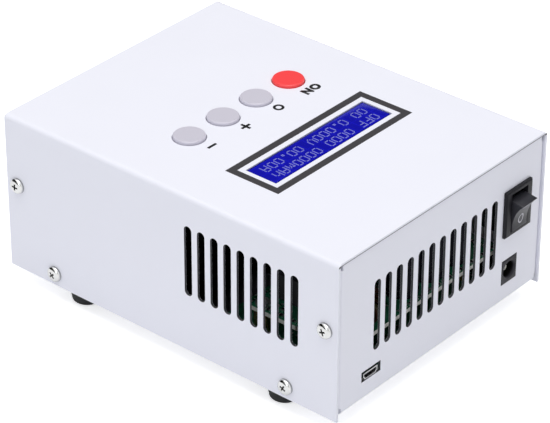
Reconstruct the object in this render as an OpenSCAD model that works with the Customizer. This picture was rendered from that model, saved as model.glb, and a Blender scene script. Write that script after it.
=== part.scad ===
// Battery capacity tester: a folded steel case with a two-row display, four push buttons,
// a rocker switch, a power inlet, a data socket, a battery socket and a cooling fan.
// X is the width, +Y points to the rear panel, Z is up and 0 is where the feet stand.

/* [Case] */
// Outside width of the cover
case_w = 117; // [114:0.5:130]
// Length of the cover
case_l = 155; // [152:1:175]
// Height of the cover, from its lower edge to its top
cover_h = 63.5; // [63:0.5:75]
// Thickness of the steel sheet
sheet = 1; // [0.8:0.1:1.2]
// Outside radius of the two long bends of the cover
cover_bend_r = 1.8; // [1.5:0.1:3]
// Outside radius of the bends of the tray
tray_bend_r = 1.5; // [1.4:0.1:2]
// Height of the tray's underside above the cover's lower edge
tray_rise = 1.6; // [1:0.1:2.4]
// Gap between the tray and the inside of the cover
case_gap = 0.25; // [0.15:0.05:0.3]
// How far the end panels stand back from the ends of the cover
panel_inset = 0.4; // [0.3:0.1:1.5]
// Length of the flanges folded inwards on the sides of the end panels
flange_l = 11; // [10:0.5:14]
// Height of the lips folded up along the sides of the tray
lip_h = 8; // [7:0.5:10]
// Radius of the relief notches where two folds of the tray meet
relief_r = 1.2; // [1:0.1:1.6]

/* [Vents] */
// Width of a vent slot
slot_w = 3.5; // [2.5:0.1:4]
// Length of a vent slot from end to end
slot_l = 28.4; // [20:0.1:32]
// Distance between two vent slots
slot_pitch = 6; // [5.5:0.1:6.5]
// Number of slots on each side of the cover
side_slots = 9; // [4:1:10]
// Number of slots in the rear panel
rear_slots = 12; // [4:1:12]
// Distance from the cover's rear end to the last side slot
side_vent_end = 19; // [16:0.5:26]
// Distance from the top of the cover down to the middle of the side slots
side_vent_drop = 26.1; // [24:0.1:30]
// Distance from the top of the cover down to the middle of the rear slots
rear_vent_drop = 30.2; // [26:0.1:34]
// Place of the middle of the rear slots across the panel
rear_vent_x = 3.9; // [2:0.1:6]

/* [Cover screws] */
// Outside diameter of the screw thread
screw_d = 3; // [2.5:0.1:3]
// Diameter of the screw head
screw_head_d = 6.1; // [5.6:0.1:7]
// Height of the screw head
screw_head_h = 1.9; // [1.6:0.1:2.4]
// Length of the screw below its head
screw_l = 6; // [5:0.5:8]
// Distance from the ends of the cover to its end screws
end_screw_in = 5.4; // [4.8:0.1:6]
// Height of the end screws above the cover's lower edge
end_screw_z = 35.7; // [30:0.1:44]
// Distance from the ends of the cover to its lower screws
low_screw_in = 22.5; // [18:0.5:28]
// Height of the lower screws above the cover's lower edge
low_screw_z = 5; // [5:0.1:6]

/* [Feet] */
// Diameter of a rubber foot where it meets the tray
foot_top_d = 14; // [12:0.5:16]
// Diameter of a rubber foot at the ground
foot_base_d = 11; // [10:0.5:12]
// Height of a rubber foot
foot_h = 8.3; // [7:0.1:10]
// Distance from the side of the cover to the middle of a foot
foot_in_x = 8.7; // [8.6:0.1:14]
// Distance from the end of the cover to the middle of a foot
foot_in_y = 30.1; // [28:0.1:34]

/* [Display] */
// Place of the middle of the display across the cover
display_x = -0.3; // [-4:0.1:4]
// Place of the middle of the display along the cover
display_y = 20.9; // [19:0.1:24]
// Width of the display window in the cover
window_w = 64.5; // [60:0.5:66]
// Height of the display window in the cover
window_h = 13.9; // [12:0.1:15]
// Width of the display's metal frame beside the window
lcd_border_x = 3.1; // [2.5:0.1:4]
// Width of the display's metal frame in front of the window and behind it
lcd_border_y = 5.5; // [4.9:0.1:6]
// Thickness of the display's metal frame
lcd_frame_t = 0.3; // [0.2:0.05:0.4]
// Height of the display above its board
lcd_stack = 7.9; // [7:0.1:9]
// Thickness of the display's glass
lcd_glass_t = 2.2; // [1.6:0.1:2.6]
// Width of the display's board beside its metal frame
lcd_ear_x = 4.4; // [4:0.1:6]
// Width of the display's board in front of its metal frame and behind it
lcd_ear_y = 5.4; // [5.3:0.1:6]
// Gap between the cover and the display's frame
lcd_gap = 0.1; // [0.05:0.05:0.3]

/* [Buttons] */
// Diameter of a button cap
cap_d = 12; // [10:0.1:13]
// Height of a cap above the cover
cap_proud = 1.2; // [0.8:0.1:2.5]
// Radius of the cap's upper edge
cap_edge_r = 0.7; // [0.4:0.1:1]
// Wall thickness of a cap
cap_wall = 1.2; // [1:0.1:1.6]
// Width of the retaining rim round a cap, under the cover
cap_rim = 1.3; // [1:0.1:1.8]
// Thickness of the retaining rim
cap_rim_t = 1.1; // [0.8:0.1:1.6]
// Gap round a cap in its hole
cap_gap = 0.3; // [0.2:0.05:0.5]
// Gap between the retaining rim and the cover
cap_rim_gap = 0.1; // [0.05:0.05:0.3]
// Travel of a button
cap_travel = 0.5; // [0.25:0.05:0.7]
// Diameter of the post inside a cap
cap_post_d = 4.6; // [4:0.1:5.5]
// Distance between two buttons
cap_pitch = 18.1; // [17.5:0.1:19]
// Place of the middle of the row of buttons across the cover
caps_x = 0.4; // [-3:0.1:3]
// Place of the row of buttons along the cover
caps_y = -16.1; // [-20:0.1:-15.5]
// Width of a push switch under a cap
tact_w = 6; // [5.8:0.1:6.2]
// Height of a push switch without its plunger
tact_h = 3.5; // [3.3:0.1:4]
// Diameter of a push switch's plunger
plunger_d = 3.5; // [3:0.1:3.6]
// Height of the plunger above its push switch
plunger_up = 1.5; // [1.2:0.1:2]
// Depth of the plunger inside its push switch
plunger_in = 1.2; // [1:0.1:1.5]
// Depth of the key board's upper face below the inside of the cover
key_board_drop = 9.7; // [9.5:0.1:12]
// Width of the key board, front to back
key_board_h = 17; // [15:0.5:18]

/* [Boards] */
// Thickness of the circuit boards
board_t = 1.6; // [1.2:0.1:2]
// Height of the control board above the tray
control_rise = 5; // [4.5:0.5:6.5]
// Distance from the side of the cover to the control board
control_in_x = 6.5; // [5.5:0.25:7.5]
// Length of the control board, front to back
control_l = 62; // [56:0.5:68]
// Gap between the rear panel and the control board
control_gap = 0.4; // [0.3:0.1:1]
// Distance from a board's edge to the middle of its screws
board_hole_in = 3.5; // [3.3:0.1:4]
// Height of the power board above the control board
power_rise = 13; // [10.8:0.1:14]
// How far the power board's left edge stands in from the control board's
power_in_left = 14; // [12:0.5:15]
// How far the power board's right edge stands in from the control board's
power_in_right = 2.5; // [2:0.25:4]
// Length of the power board, front to back
power_l = 43.7; // [42:0.1:46]
// Gap between the rear panel and the power board
power_gap = 2; // [1:0.1:4]
// Distance from the power board's rear edge to its rear spacers
power_rear_hole = 11.7; // [11:0.1:13]
// Diameter of the spacers
spacer_d = 5.5; // [5:0.1:6]

/* [Rocker switch] */
// Width of the switch's bezel
bezel_w = 15.4; // [14.6:0.1:16]
// Height of the switch's bezel
bezel_h = 18.8; // [18.7:0.1:22]
// Thickness of the bezel in front of the panel
bezel_t = 1.5; // [1.2:0.1:2]
// Width of the opening that the rocker moves in
rocker_open_w = 9.4; // [9:0.1:9.8]
// Height of the opening that the rocker moves in
rocker_open_h = 15.6; // [15.4:0.1:15.7]
// Wall thickness of the switch's body
switch_wall = 1.3; // [1.1:0.1:1.3]
// Depth of the switch's body behind the panel
switch_depth = 13; // [12:0.5:16]
// Half the travel of the rocker in degrees
rocker_tilt = 19.5; // [17:0.5:20]
// Depth of the rocker's pivot behind the bezel's front
pivot_depth = 2; // [1.8:0.1:2.4]
// Diameter of the rocker's pivot pins
pivot_d = 2.4; // [2:0.1:2.6]
// Gap round the pivot pins
pivot_gap = 0.08; // [0.05:0.01:0.1]
// Distance from the side of the cover to the middle of the switch
switch_in = 16.4; // [16:0.1:18.2]
// Distance from the top of the cover down to the middle of the switch
switch_drop = 24.4; // [22:0.1:26]

/* [Sockets] */
// Width of the power inlet
jack_w = 8.7; // [8.5:0.1:9.4]
// Height of the power inlet
jack_h = 10; // [9.8:0.1:10.6]
// Length of the power inlet
jack_l = 14; // [13:0.5:15]
// Diameter of the power inlet's hole
jack_hole_d = 6.3; // [5.6:0.1:6.6]
// Depth of the power inlet's hole
jack_depth = 9.5; // [8:0.5:11]
// Diameter of the power inlet's centre pin
jack_pin_d = 2.1; // [1.9:0.1:2.5]
// Distance from the side of the cover to the middle of the power inlet
jack_in = 18.9; // [17.5:0.1:20.5]
// Width of the data socket's shell
usb_w = 7.7; // [7.5:0.1:8]
// Height of the data socket's shell
usb_h = 2.7; // [2.5:0.1:3]
// Length of the data socket's shell
usb_l = 6; // [5.5:0.1:7]
// Distance from the side of the cover to the middle of the data socket
usb_in = 19; // [17.5:0.1:20.5]
// How far the data socket's front stands back from the panel's face
usb_back = 0.3; // [0:0.1:0.6]
// Gap round the sockets in the rear panel
socket_gap = 0.15; // [0.1:0.05:0.3]
// Gap round the data socket in the rear panel
usb_gap = 1.4; // [0.8:0.1:1.6]
// Outside diameter of the battery socket's thread
batt_d = 16; // [15:0.5:18]
// How far the battery socket stands out of the front panel
batt_proud = 6.1; // [5:0.1:8]
// Size of the battery socket's nut across its flats
batt_nut_af = 19; // [18.5:0.5:21]
// Thickness of the battery socket's nut
batt_nut_t = 2.4; // [2:0.1:3]
// Distance from the side of the cover to the middle of the battery socket
batt_in = 26.5; // [22.5:0.5:30.5]
// Height of the battery socket above the tray
batt_rise = 26; // [22:0.5:32]

/* [Fan] */
// Width and height of the fan's frame
fan_w = 50; // [48:1:52]
// Depth of the fan
fan_t = 15; // [12:1:20]
// Distance from the edges of the fan's frame to the middle of its screws
fan_hole_in = 5; // [4.5:0.25:5]
// Thinnest wall of the fan's frame, beside the air duct
fan_wall = 2; // [1.5:0.25:3]
// Diameter of the fan's hub
fan_hub_d = 22; // [18:0.5:26]
// Number of blades
fan_blades = 7; // [5:1:9]
// Gap between the blades and the duct
fan_tip_gap = 0.8; // [0.5:0.1:1.2]
// Distance from the side of the cover to the middle of the fan
fan_in = 34.5; // [32.5:0.5:36.5]
// Height of the fan's lower side above the tray
fan_rise = 0.8; // [0.5:0.1:3]
// Diameter of the guard's wire
wire_d = 1.6; // [1.2:0.1:2]

/* [Heatsink] */
// Gap between the heatsink and the control board
sink_board_gap = 10; // [4:0.5:20]
// Height of the heatsink above the tray
sink_h = 44; // [40:1:46]
// Width of the heatsink
sink_w = 48; // [44:1:52]
// Thickness of the heatsink's base wall
sink_base = 5; // [4:0.5:6]
// Thickness of a fin
fin_t = 1.6; // [1.2:0.1:2]
// Number of fins
fins = 8; // [5:1:9]
// Gap between the fan and the heatsink
sink_gap = 4; // [3.8:0.1:6]

/* [Hidden] */
$fn = 48;

// Overlap that lets a cut run past the face it opens
past = 1;

// Outside faces of the case
side_x = case_w / 2;
end_y = case_l / 2;
z_tray = foot_h;
z_floor = z_tray + sheet;
z_edge = z_tray - tray_rise;
z_top = z_edge + cover_h;
z_ceiling = z_top - sheet;
panel_y = end_y - panel_inset;
panel_in_y = panel_y - sheet;
tray_w = case_w - 2 * sheet - 2 * case_gap;
panel_top = z_ceiling - case_gap;

// Screw holes of the case
end_screw_y = end_y - end_screw_in;
low_screw_y = end_y - low_screw_in;
clear_r = screw_d / 2 + 0.2;
tap_r = screw_d / 2 + 0.05;
nut_af = screw_d * 1.83;
nut_t = screw_d * 0.8;
small_screw_d = 2.4;
small_screw_l = 6;
small_hole_d = small_screw_d + 0.2;
foot_x = side_x - foot_in_x;
foot_y = end_y - foot_in_y;

// Display, from the cover downwards
lcd_frame_w = window_w + 2 * lcd_border_x;
lcd_frame_h = window_h + 2 * lcd_border_y;
lcd_board_w = lcd_frame_w + 2 * lcd_ear_x;
lcd_board_h = lcd_frame_h + 2 * lcd_ear_y;
lcd_top = z_ceiling - lcd_gap;
lcd_board_top = lcd_top - lcd_stack;
lcd_board_under = lcd_board_top - board_t;
lcd_post_in = 2.5;
lcd_post_x = lcd_board_w / 2 - lcd_post_in;
lcd_post_y = lcd_board_h / 2 - lcd_post_in;

// Buttons, from the cover downwards
cap_x = [for (k = [0:3]) caps_x + (k - 1.5) * cap_pitch];
cap_r = cap_d / 2;
cap_rim_top = z_ceiling - cap_rim_gap;
cap_rim_under = cap_rim_top - cap_rim_t;
key_board_top = z_ceiling - key_board_drop;
key_board_end = 12.5;
key_board_w = 3 * cap_pitch + 2 * key_board_end;
tact_top = key_board_top + tact_h;
plunger_top = tact_top + plunger_up;
plunger_gap = 0.3;
plunger_well = plunger_in + cap_travel + plunger_gap;
key_post_in = 3;

// Boards
control_w = case_w - 2 * control_in_x;
power_w = control_w - power_in_left - power_in_right;
power_x = (power_in_left - power_in_right) / 2;
power_left = power_x - power_w / 2;
power_right = power_x + power_w / 2;
control_under = z_floor + control_rise;
control_top = control_under + board_t;
control_rear = panel_in_y - control_gap;
control_front = control_rear - control_l;
control_hole_x = control_w / 2 - board_hole_in;
power_under = control_top + power_rise;
power_top = power_under + board_t;
power_rear = panel_in_y - power_gap;
power_front = power_rear - power_l;
power_hole_x = [power_left + 2 * board_hole_in, power_right - board_hole_in];
power_hole_y = [power_front + board_hole_in, power_rear - power_rear_hole];
control_holes = [for (x = [-1, 1], y = [control_front + board_hole_in, control_rear - board_hole_in])
    [x * control_hole_x, y]];
power_holes = [for (x = power_hole_x, y = power_hole_y) [x, y]];

// Rear panel openings
switch_x = switch_in - side_x;
jack_x = jack_in - side_x;
usb_x = side_x - usb_in;
rear_vent_z = z_top - rear_vent_drop;
switch_z = z_top - switch_drop;
bezel_y = panel_y + bezel_t;
pivot_y = bezel_y - pivot_depth;
body_w = rocker_open_w + 2 * switch_wall;
body_h = rocker_open_h + 2 * switch_wall;
jack_z = control_top + jack_h / 2;
jack_front = panel_y + socket_gap;
usb_z = control_top + usb_h / 2;
usb_front = panel_y - usb_back;

// Front panel openings
fan_x = side_x - fan_in;
batt_x = batt_in - side_x;
fan_pitch = fan_w - 2 * fan_hole_in;
fan_duct_d = fan_w - 2 * fan_wall;
fan_z = z_floor + fan_rise + fan_w / 2;
fan_front = -panel_in_y;
fan_back = fan_front + fan_t;
batt_z = z_floor + batt_rise;
sink_front = fan_back + sink_gap;
sink_l = control_front - sink_board_gap - sink_front;
sink_x = fan_x - sink_w / 2;
first_fin = 6;
fin_step = (sink_h - 2 * first_fin) / (fins - 1);
sink_screw_y = [sink_front + 0.2 * sink_l, sink_front + 0.8 * sink_l];
sink_screw_in = 8;
to220_y = [sink_front + 0.3 * sink_l, sink_front + 0.7 * sink_l];
to220_z = z_floor + 0.77 * sink_h;
to220_t = 4.8;
to220_w = 15.6;
to220_l = 20;
to220_leg_l = 13;
to220_leg_pitch = 5.4;

// Rounded rectangle about the origin, with corners of radius r
module round_rect(w, h, r) {
    square([w - 2 * r, h], center = true);
    square([w, h - 2 * r], center = true);
    for (x = [-1, 1], y = [-1, 1])
        translate([x * (w / 2 - r), y * (h / 2 - r)]) circle(r = r);
}

// Quarter ring of folded sheet, with its centre at the origin
module bend(outer_r, t) {
    intersection() {
        difference() {
            circle(r = outer_r);
            circle(r = outer_r - t);
        }
        square(outer_r + past);
    }
}

// Upright slot with round ends, cut along Y and centred on the origin
module slot_along_y(w, l, depth) {
    cube([w, depth, l - w], center = true);
    for (z = [-1, 1])
        translate([0, 0, z * (l - w) / 2]) rotate([90, 0, 0]) cylinder(d = w, h = depth, center = true);
}

// Bore along X, centred on the origin
module bore_x(r, depth) {
    rotate([0, 90, 0]) cylinder(r = r, h = depth, center = true);
}

// Bore along Y, centred on the origin
module bore_y(r, depth) {
    rotate([90, 0, 0]) cylinder(r = r, h = depth, center = true);
}

// Pan head screw that points down, with its head's underside at the origin
module pan_screw(d, l, head_d, head_h) {
    translate([0, 0, -l]) cylinder(d = d, h = l);
    difference() {
        union() {
            cylinder(d = head_d, h = head_h * 0.35);
            intersection() {
                cylinder(d = head_d * 0.92, h = head_h);
                translate([0, 0, head_h - head_d]) sphere(r = head_d);
            }
        }
        translate([0, 0, head_h]) {
            cube([head_d * 0.55, head_d * 0.14, head_h], center = true);
            cube([head_d * 0.14, head_d * 0.55, head_h], center = true);
        }
    }
}

// Small screw for the boards, pointing down, with its head's underside at the origin
module board_screw(l) {
    pan_screw(screw_d, l, screw_d * 1.85, screw_d * 0.6);
}

// Six-sided nut or spacer of size d across its flats
module hex(d, h) {
    cylinder(d = d / cos(30), h = h, $fn = 6);
}

// Nut of the case's screws
module nut() {
    difference() {
        hex(nut_af, nut_t);
        translate([0, 0, -past]) cylinder(r = tap_r, h = nut_t + 2 * past);
    }
}

// Box from corner a to corner b
module block(a, b) {
    translate(a) cube([b[0] - a[0], b[1] - a[1], b[2] - a[2]]);
}

// Box that stands on the origin's plane
module centred_block(w, l, h) {
    translate([-w / 2, -l / 2, 0]) cube([w, l, h]);
}

// The folds of the tray seen from the side: front panel, floor and rear panel
module tray_side() {
    r = tray_bend_r;
    translate([-panel_y + r, z_tray]) square([2 * (panel_y - r), sheet]);
    for (s = [-1, 1]) {
        translate([s > 0 ? panel_y - sheet : -panel_y, z_tray + r])
            square([sheet, panel_top - z_tray - r]);
        translate([s * (panel_y - r), z_tray + r]) rotate(s > 0 ? -90 : 180) bend(r, sheet);
    }
}

// One lip along a side of the tray, seen from the front
module tray_lip() {
    r = tray_bend_r;
    x = tray_w / 2;
    translate([x - r - past, z_tray]) square([past, sheet]);
    translate([x - r, z_tray + r]) rotate(-90) bend(r, sheet);
    translate([x - sheet, z_tray + r]) square([sheet, lip_h - r]);
}

// One flange on the side of the rear panel, seen from above
module panel_flange() {
    r = tray_bend_r;
    x = tray_w / 2;
    translate([x - r - past, panel_y - sheet]) square([past, sheet]);
    translate([x - r, panel_y - r]) bend(r, sheet);
    translate([x - sheet, panel_y - flange_l]) square([sheet, flange_l - r]);
}

module base_tray() {
    r = tray_bend_r;
    lip_end = panel_y - flange_l - 2;
    color([0.84, 0.84, 0.88]) difference() {
        union() {
            rotate([90, 0, 90])
                linear_extrude(tray_w - 2 * r, center = true) tray_side();
            for (s = [0, 1]) mirror([s, 0, 0]) {
                rotate([90, 0, 0])
                    linear_extrude(2 * lip_end, center = true) tray_lip();
                for (e = [0, 1]) mirror([0, e, 0])
                    translate([0, 0, z_floor + relief_r + 0.6])
                        linear_extrude(panel_top - z_floor - relief_r - 0.6 - 2) panel_flange();
            }
        }
        // Relief notches where the floor, a lip and a panel's flange meet
        for (x = [-1, 1], y = [-1, 1])
            translate([x * tray_w / 2, y * (lip_end + relief_r), z_tray - past])
                cylinder(r = relief_r, h = sheet + 2 * past);
        // Tapped holes for the cover's screws
        for (x = [-1, 1], y = [-1, 1]) {
            translate([x * tray_w / 2, y * end_screw_y, z_edge + end_screw_z]) bore_x(tap_r, 4 * sheet);
            translate([x * tray_w / 2, y * low_screw_y, z_edge + low_screw_z]) bore_x(tap_r, 4 * sheet);
            translate([x * foot_x, y * foot_y, z_tray - past]) cylinder(r = clear_r, h = sheet + 2 * past);
        }
        // Rear panel: vent slots, switch, power inlet and data socket
        for (k = [0:rear_slots - 1])
            translate([rear_vent_x + (k - (rear_slots - 1) / 2) * slot_pitch, panel_y, rear_vent_z])
                slot_along_y(slot_w, slot_l, 4 * sheet);
        translate([switch_x, panel_y, switch_z])
            cube([body_w + 2 * socket_gap, 4 * sheet, body_h + 2 * socket_gap], center = true);
        translate([jack_x, panel_y, jack_z])
            cube([jack_w + 2 * socket_gap, 4 * sheet, jack_h + 2 * socket_gap], center = true);
        translate([usb_x, panel_y, usb_z + (usb_gap - socket_gap) / 2])
            cube([usb_w + 2 * usb_gap, 4 * sheet, usb_h + usb_gap + socket_gap], center = true);
        // Front panel: fan and battery socket
        translate([fan_x, -panel_y, fan_z]) {
            bore_y(fan_duct_d / 2, 4 * sheet);
            for (x = [-1, 1], z = [-1, 1])
                translate([x * fan_pitch / 2, 0, z * fan_pitch / 2]) bore_y(clear_r, 4 * sheet);
        }
        translate([batt_x, -panel_y, batt_z]) bore_y(batt_d / 2 + socket_gap, 4 * sheet);
        // Floor: standoffs of the control board and screws of the heatsink
        for (p = control_holes)
            translate([p[0], p[1], z_tray - past]) cylinder(r = clear_r, h = sheet + 2 * past);
        for (y = sink_screw_y)
            translate([sink_x + sink_base / 2, y, z_tray - past])
                cylinder(r = clear_r, h = sheet + 2 * past);
    }
}

module top_cover() {
    color([0.94, 0.94, 0.97]) difference() {
        rotate([90, 0, 0]) linear_extrude(case_l, center = true) difference() {
            intersection() {
                translate([0, z_top - case_w / 2]) round_rect(case_w, case_w, cover_bend_r);
                translate([-side_x, z_edge]) square([case_w, cover_h]);
            }
            translate([0, z_ceiling - case_w / 2 + sheet])
                round_rect(case_w - 2 * sheet, case_w - 2 * sheet, cover_bend_r - sheet);
        }
        // Vent slots in both sides
        for (s = [-1, 1], k = [0:side_slots - 1])
            translate([s * side_x, end_y - side_vent_end - k * slot_pitch, z_top - side_vent_drop])
                rotate(90) slot_along_y(slot_w, slot_l, 4 * sheet);
        // Screw holes in both sides
        for (x = [-1, 1], y = [-1, 1]) {
            translate([x * side_x, y * end_screw_y, z_edge + end_screw_z]) bore_x(clear_r, 4 * sheet);
            translate([x * side_x, y * low_screw_y, z_edge + low_screw_z]) bore_x(clear_r, 4 * sheet);
        }
        // Display window and button holes
        translate([display_x - window_w / 2, display_y - window_h / 2, z_ceiling - past])
            cube([window_w, window_h, sheet + 2 * past]);
        for (x = cap_x)
            translate([x, caps_y, z_ceiling - past]) cylinder(r = cap_r + cap_gap, h = sheet + 2 * past);
    }
}

module cover_screws() {
    color([0.8, 0.8, 0.78]) for (s = [0, 1]) mirror([s, 0, 0])
        for (y = [-1, 1]) {
            translate([side_x, y * end_screw_y, z_edge + end_screw_z])
                rotate([0, 90, 0]) pan_screw(screw_d, screw_l, screw_head_d, screw_head_h);
            translate([side_x, y * low_screw_y, z_edge + low_screw_z])
                rotate([0, 90, 0]) pan_screw(screw_d, screw_l, screw_head_d, screw_head_h);
        }
}

// A foot's recess that takes the screw's head
foot_recess_d = screw_d * 2.4;
foot_recess = 3.2;
foot_edge_r = 1;

module rubber_feet() {
    slope = (foot_top_d - foot_base_d) / 2 / foot_h;
    flat_r = foot_base_d / 2 - foot_edge_r;
    color([0.09, 0.09, 0.1]) for (x = [-1, 1], y = [-1, 1])
        translate([x * foot_x, y * foot_y, 0]) difference() {
            rotate_extrude() {
                polygon([[0, 0], [flat_r, 0], [flat_r, foot_edge_r],
                    [foot_base_d / 2 + slope * foot_edge_r, foot_edge_r], [foot_top_d / 2, foot_h], [0, foot_h]]);
                translate([flat_r, foot_edge_r]) intersection() {
                    circle(r = foot_edge_r);
                    translate([0, -foot_edge_r]) square(foot_edge_r);
                }
            }
            translate([0, 0, -past]) cylinder(d = foot_recess_d, h = foot_recess + past);
            translate([0, 0, -past]) cylinder(r = clear_r, h = foot_h + 2 * past);
        }
}

module foot_screws() {
    color([0.78, 0.78, 0.76]) for (x = [-1, 1], y = [-1, 1])
        translate([x * foot_x, y * foot_y, 0]) {
            translate([0, 0, foot_recess]) rotate([180, 0, 0])
                board_screw(foot_h - foot_recess + sheet + nut_t + 1);
            translate([0, 0, z_floor]) nut();
        }
}

module lcd_frame() {
    t = lcd_frame_t;
    color([0.25, 0.25, 0.28]) translate([display_x, display_y, lcd_board_top]) {
        difference() {
            linear_extrude(lcd_stack) round_rect(lcd_frame_w, lcd_frame_h, 1);
            translate([0, 0, -past]) linear_extrude(lcd_stack - t + past)
                round_rect(lcd_frame_w - 2 * t, lcd_frame_h - 2 * t, 0.7);
            translate([-window_w / 2 - 0.4, -window_h / 2 - 0.4, 0])
                cube([window_w + 0.8, window_h + 0.8, lcd_stack + past]);
        }
    }
}

lcd_glass_in = 1;
lcd_backlight_in = 1.5;

module lcd_glass() {
    color([0.1, 0.1, 0.75]) translate([display_x, display_y, lcd_top - lcd_frame_t - lcd_glass_t])
        centred_block(lcd_frame_w - 2 * lcd_glass_in, lcd_frame_h - 2 * lcd_glass_in, lcd_glass_t);
}

module lcd_backlight() {
    color([0.95, 0.95, 0.9]) translate([display_x, display_y, lcd_board_top])
        centred_block(lcd_frame_w - 2 * lcd_backlight_in, lcd_frame_h - 2 * lcd_backlight_in,
            lcd_stack - lcd_frame_t - lcd_glass_t);
}

lcd_pin_pitch = 2.54;
lcd_pins = 16;

module lcd_board() {
    color([0.05, 0.35, 0.18]) translate([display_x, display_y, lcd_board_under]) linear_extrude(board_t)
        difference() {
            square([lcd_board_w, lcd_board_h], center = true);
            for (x = [-1, 1], y = [-1, 1])
                translate([x * lcd_post_x, y * lcd_post_y]) circle(d = small_hole_d);
            for (k = [0:lcd_pins - 1])
                translate([(k - 0.57 * lcd_pins) * lcd_pin_pitch, lcd_post_y]) circle(d = 1, $fn = 16);
        }
}

// Domes of resin over the display's bare chips
module lcd_driver_chips() {
    r = 7.5;
    h = 1.8;
    dome_r = (r * r + h * h) / 2 / h;
    color([0.06, 0.06, 0.06]) for (x = [-0.2, 0.15])
        translate([display_x + x * lcd_board_w, display_y - 3, lcd_board_under]) mirror([0, 0, 1])
            rotate_extrude() intersection() {
                translate([0, h - dome_r]) circle(r = dome_r, $fn = 360);
                square([r, h]);
            }
}

// Posts that hang from the inside of the cover and carry a board
module hanging_posts(xs, ys, board_top) {
    for (x = xs, y = ys) translate([x, y, board_top]) difference() {
        cylinder(d = spacer_d, h = z_ceiling - board_top);
        translate([0, 0, -past]) cylinder(d = small_screw_d + 0.1, h = small_screw_l + past);
    }
}

lcd_posts_at = [display_x - lcd_post_x, display_x + lcd_post_x];
lcd_posts_y = [display_y - lcd_post_y, display_y + lcd_post_y];
key_posts_at = [caps_x - key_board_w / 2 + key_post_in, caps_x + key_board_w / 2 - key_post_in];
key_posts_y = [caps_y - key_board_h / 2 + key_post_in, caps_y + key_board_h / 2 - key_post_in];

module display_posts() {
    color([0.75, 0.73, 0.62]) {
        hanging_posts(lcd_posts_at, lcd_posts_y, lcd_board_top);
        hanging_posts(key_posts_at, key_posts_y, key_board_top);
    }
}

// Screw that points up, with its head's face at the origin
module small_screw() {
    rotate([180, 0, 0]) pan_screw(small_screw_d, small_screw_l, small_screw_d * 1.9, small_screw_d * 0.65);
}

module display_screws() {
    color([0.78, 0.78, 0.76]) {
        for (x = lcd_posts_at, y = lcd_posts_y) translate([x, y, lcd_board_under]) small_screw();
        for (x = key_posts_at, y = key_posts_y) translate([x, y, key_board_top - board_t]) small_screw();
    }
}

module key_board() {
    color([0.05, 0.35, 0.18]) translate([caps_x, caps_y, key_board_top - board_t]) linear_extrude(board_t)
        difference() {
            square([key_board_w, key_board_h], center = true);
            for (x = [-1, 1], y = [-1, 1])
                translate([x * (key_board_w / 2 - key_post_in), y * (key_board_h / 2 - key_post_in)])
                    circle(d = small_hole_d);
        }
}

module push_switches() {
    color([0.12, 0.12, 0.13]) for (x = cap_x) translate([x, caps_y, key_board_top]) difference() {
        union() {
            translate([-tact_w / 2, -tact_w / 2, 0]) cube([tact_w, tact_w, tact_h - 0.3]);
            translate([-tact_w / 2 + 0.2, -tact_w / 2 + 0.2, 0]) cube([tact_w - 0.4, tact_w - 0.4, tact_h]);
            for (u = [-1, 1], v = [-1, 1])
                translate([u * (tact_w / 2 - 0.8), v * (tact_w / 2 - 0.8), 0])
                    cylinder(r = 0.45, h = tact_h + 0.2);
        }
        translate([0, 0, tact_h - plunger_well])
            cylinder(d = plunger_d + 2 * plunger_gap, h = plunger_well + past);
    }
}

// Hollow cap with a round upper edge, a retaining rim and a ribbed post
module cap() {
    top = z_top + cap_proud;
    edge = cap_edge_r;
    difference() {
        rotate_extrude() {
            translate([0, cap_rim_under]) square([cap_r + cap_rim, cap_rim_t]);
            translate([0, cap_rim_under]) square([cap_r, top - edge - cap_rim_under]);
            translate([0, cap_rim_under]) square([cap_r - edge, top - cap_rim_under]);
            translate([cap_r - edge, top - edge]) intersection() {
                circle(r = edge);
                square(edge);
            }
        }
        translate([0, 0, cap_rim_under - past])
            cylinder(r = cap_r - cap_wall, h = top - cap_wall - cap_rim_under + past);
    }
    translate([0, 0, plunger_top]) cylinder(d = cap_post_d, h = top - cap_wall - plunger_top);
    intersection() {
        translate([0, 0, cap_rim_under]) cylinder(r = cap_r - cap_wall, h = top - cap_wall - cap_rim_under);
        for (a = [0, 90]) rotate(a)
            translate([-cap_r, -0.5, cap_rim_under]) cube([2 * cap_r, 1, top - cap_wall - cap_rim_under]);
    }
}

// Plunger of a push switch
module plunger() {
    translate([0, 0, tact_top - plunger_in]) cylinder(d = plunger_d, h = plunger_in + plunger_up);
}

module cap_on() {
    color([0.95, 0.3, 0.3]) translate([cap_x[0], caps_y, 0]) cap();
}

module cap_set() {
    color([0.8, 0.8, 0.84]) translate([cap_x[1], caps_y, 0]) cap();
}

module cap_plus() {
    color([0.8, 0.8, 0.84]) translate([cap_x[2], caps_y, 0]) cap();
}

module cap_minus() {
    color([0.8, 0.8, 0.84]) translate([cap_x[3], caps_y, 0]) cap();
}

module plunger_on() {
    color([0.15, 0.15, 0.16]) translate([cap_x[0], caps_y, 0]) plunger();
}

module plunger_set() {
    color([0.15, 0.15, 0.16]) translate([cap_x[1], caps_y, 0]) plunger();
}

module plunger_plus() {
    color([0.15, 0.15, 0.16]) translate([cap_x[2], caps_y, 0]) plunger();
}

module plunger_minus() {
    color([0.15, 0.15, 0.16]) translate([cap_x[3], caps_y, 0]) plunger();
}

module control_board() {
    color([0.05, 0.33, 0.17]) translate([0, 0, control_under]) linear_extrude(board_t) difference() {
        translate([-control_w / 2, control_front]) square([control_w, control_l]);
        for (p = concat(control_holes, power_holes)) translate(p) circle(r = clear_r);
    }
}

module control_standoffs() {
    color([0.8, 0.68, 0.35]) for (p = control_holes) translate([p[0], p[1], z_floor]) difference() {
        hex(spacer_d, control_rise);
        translate([0, 0, -past]) cylinder(r = tap_r, h = control_rise + 2 * past);
    }
}

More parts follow.
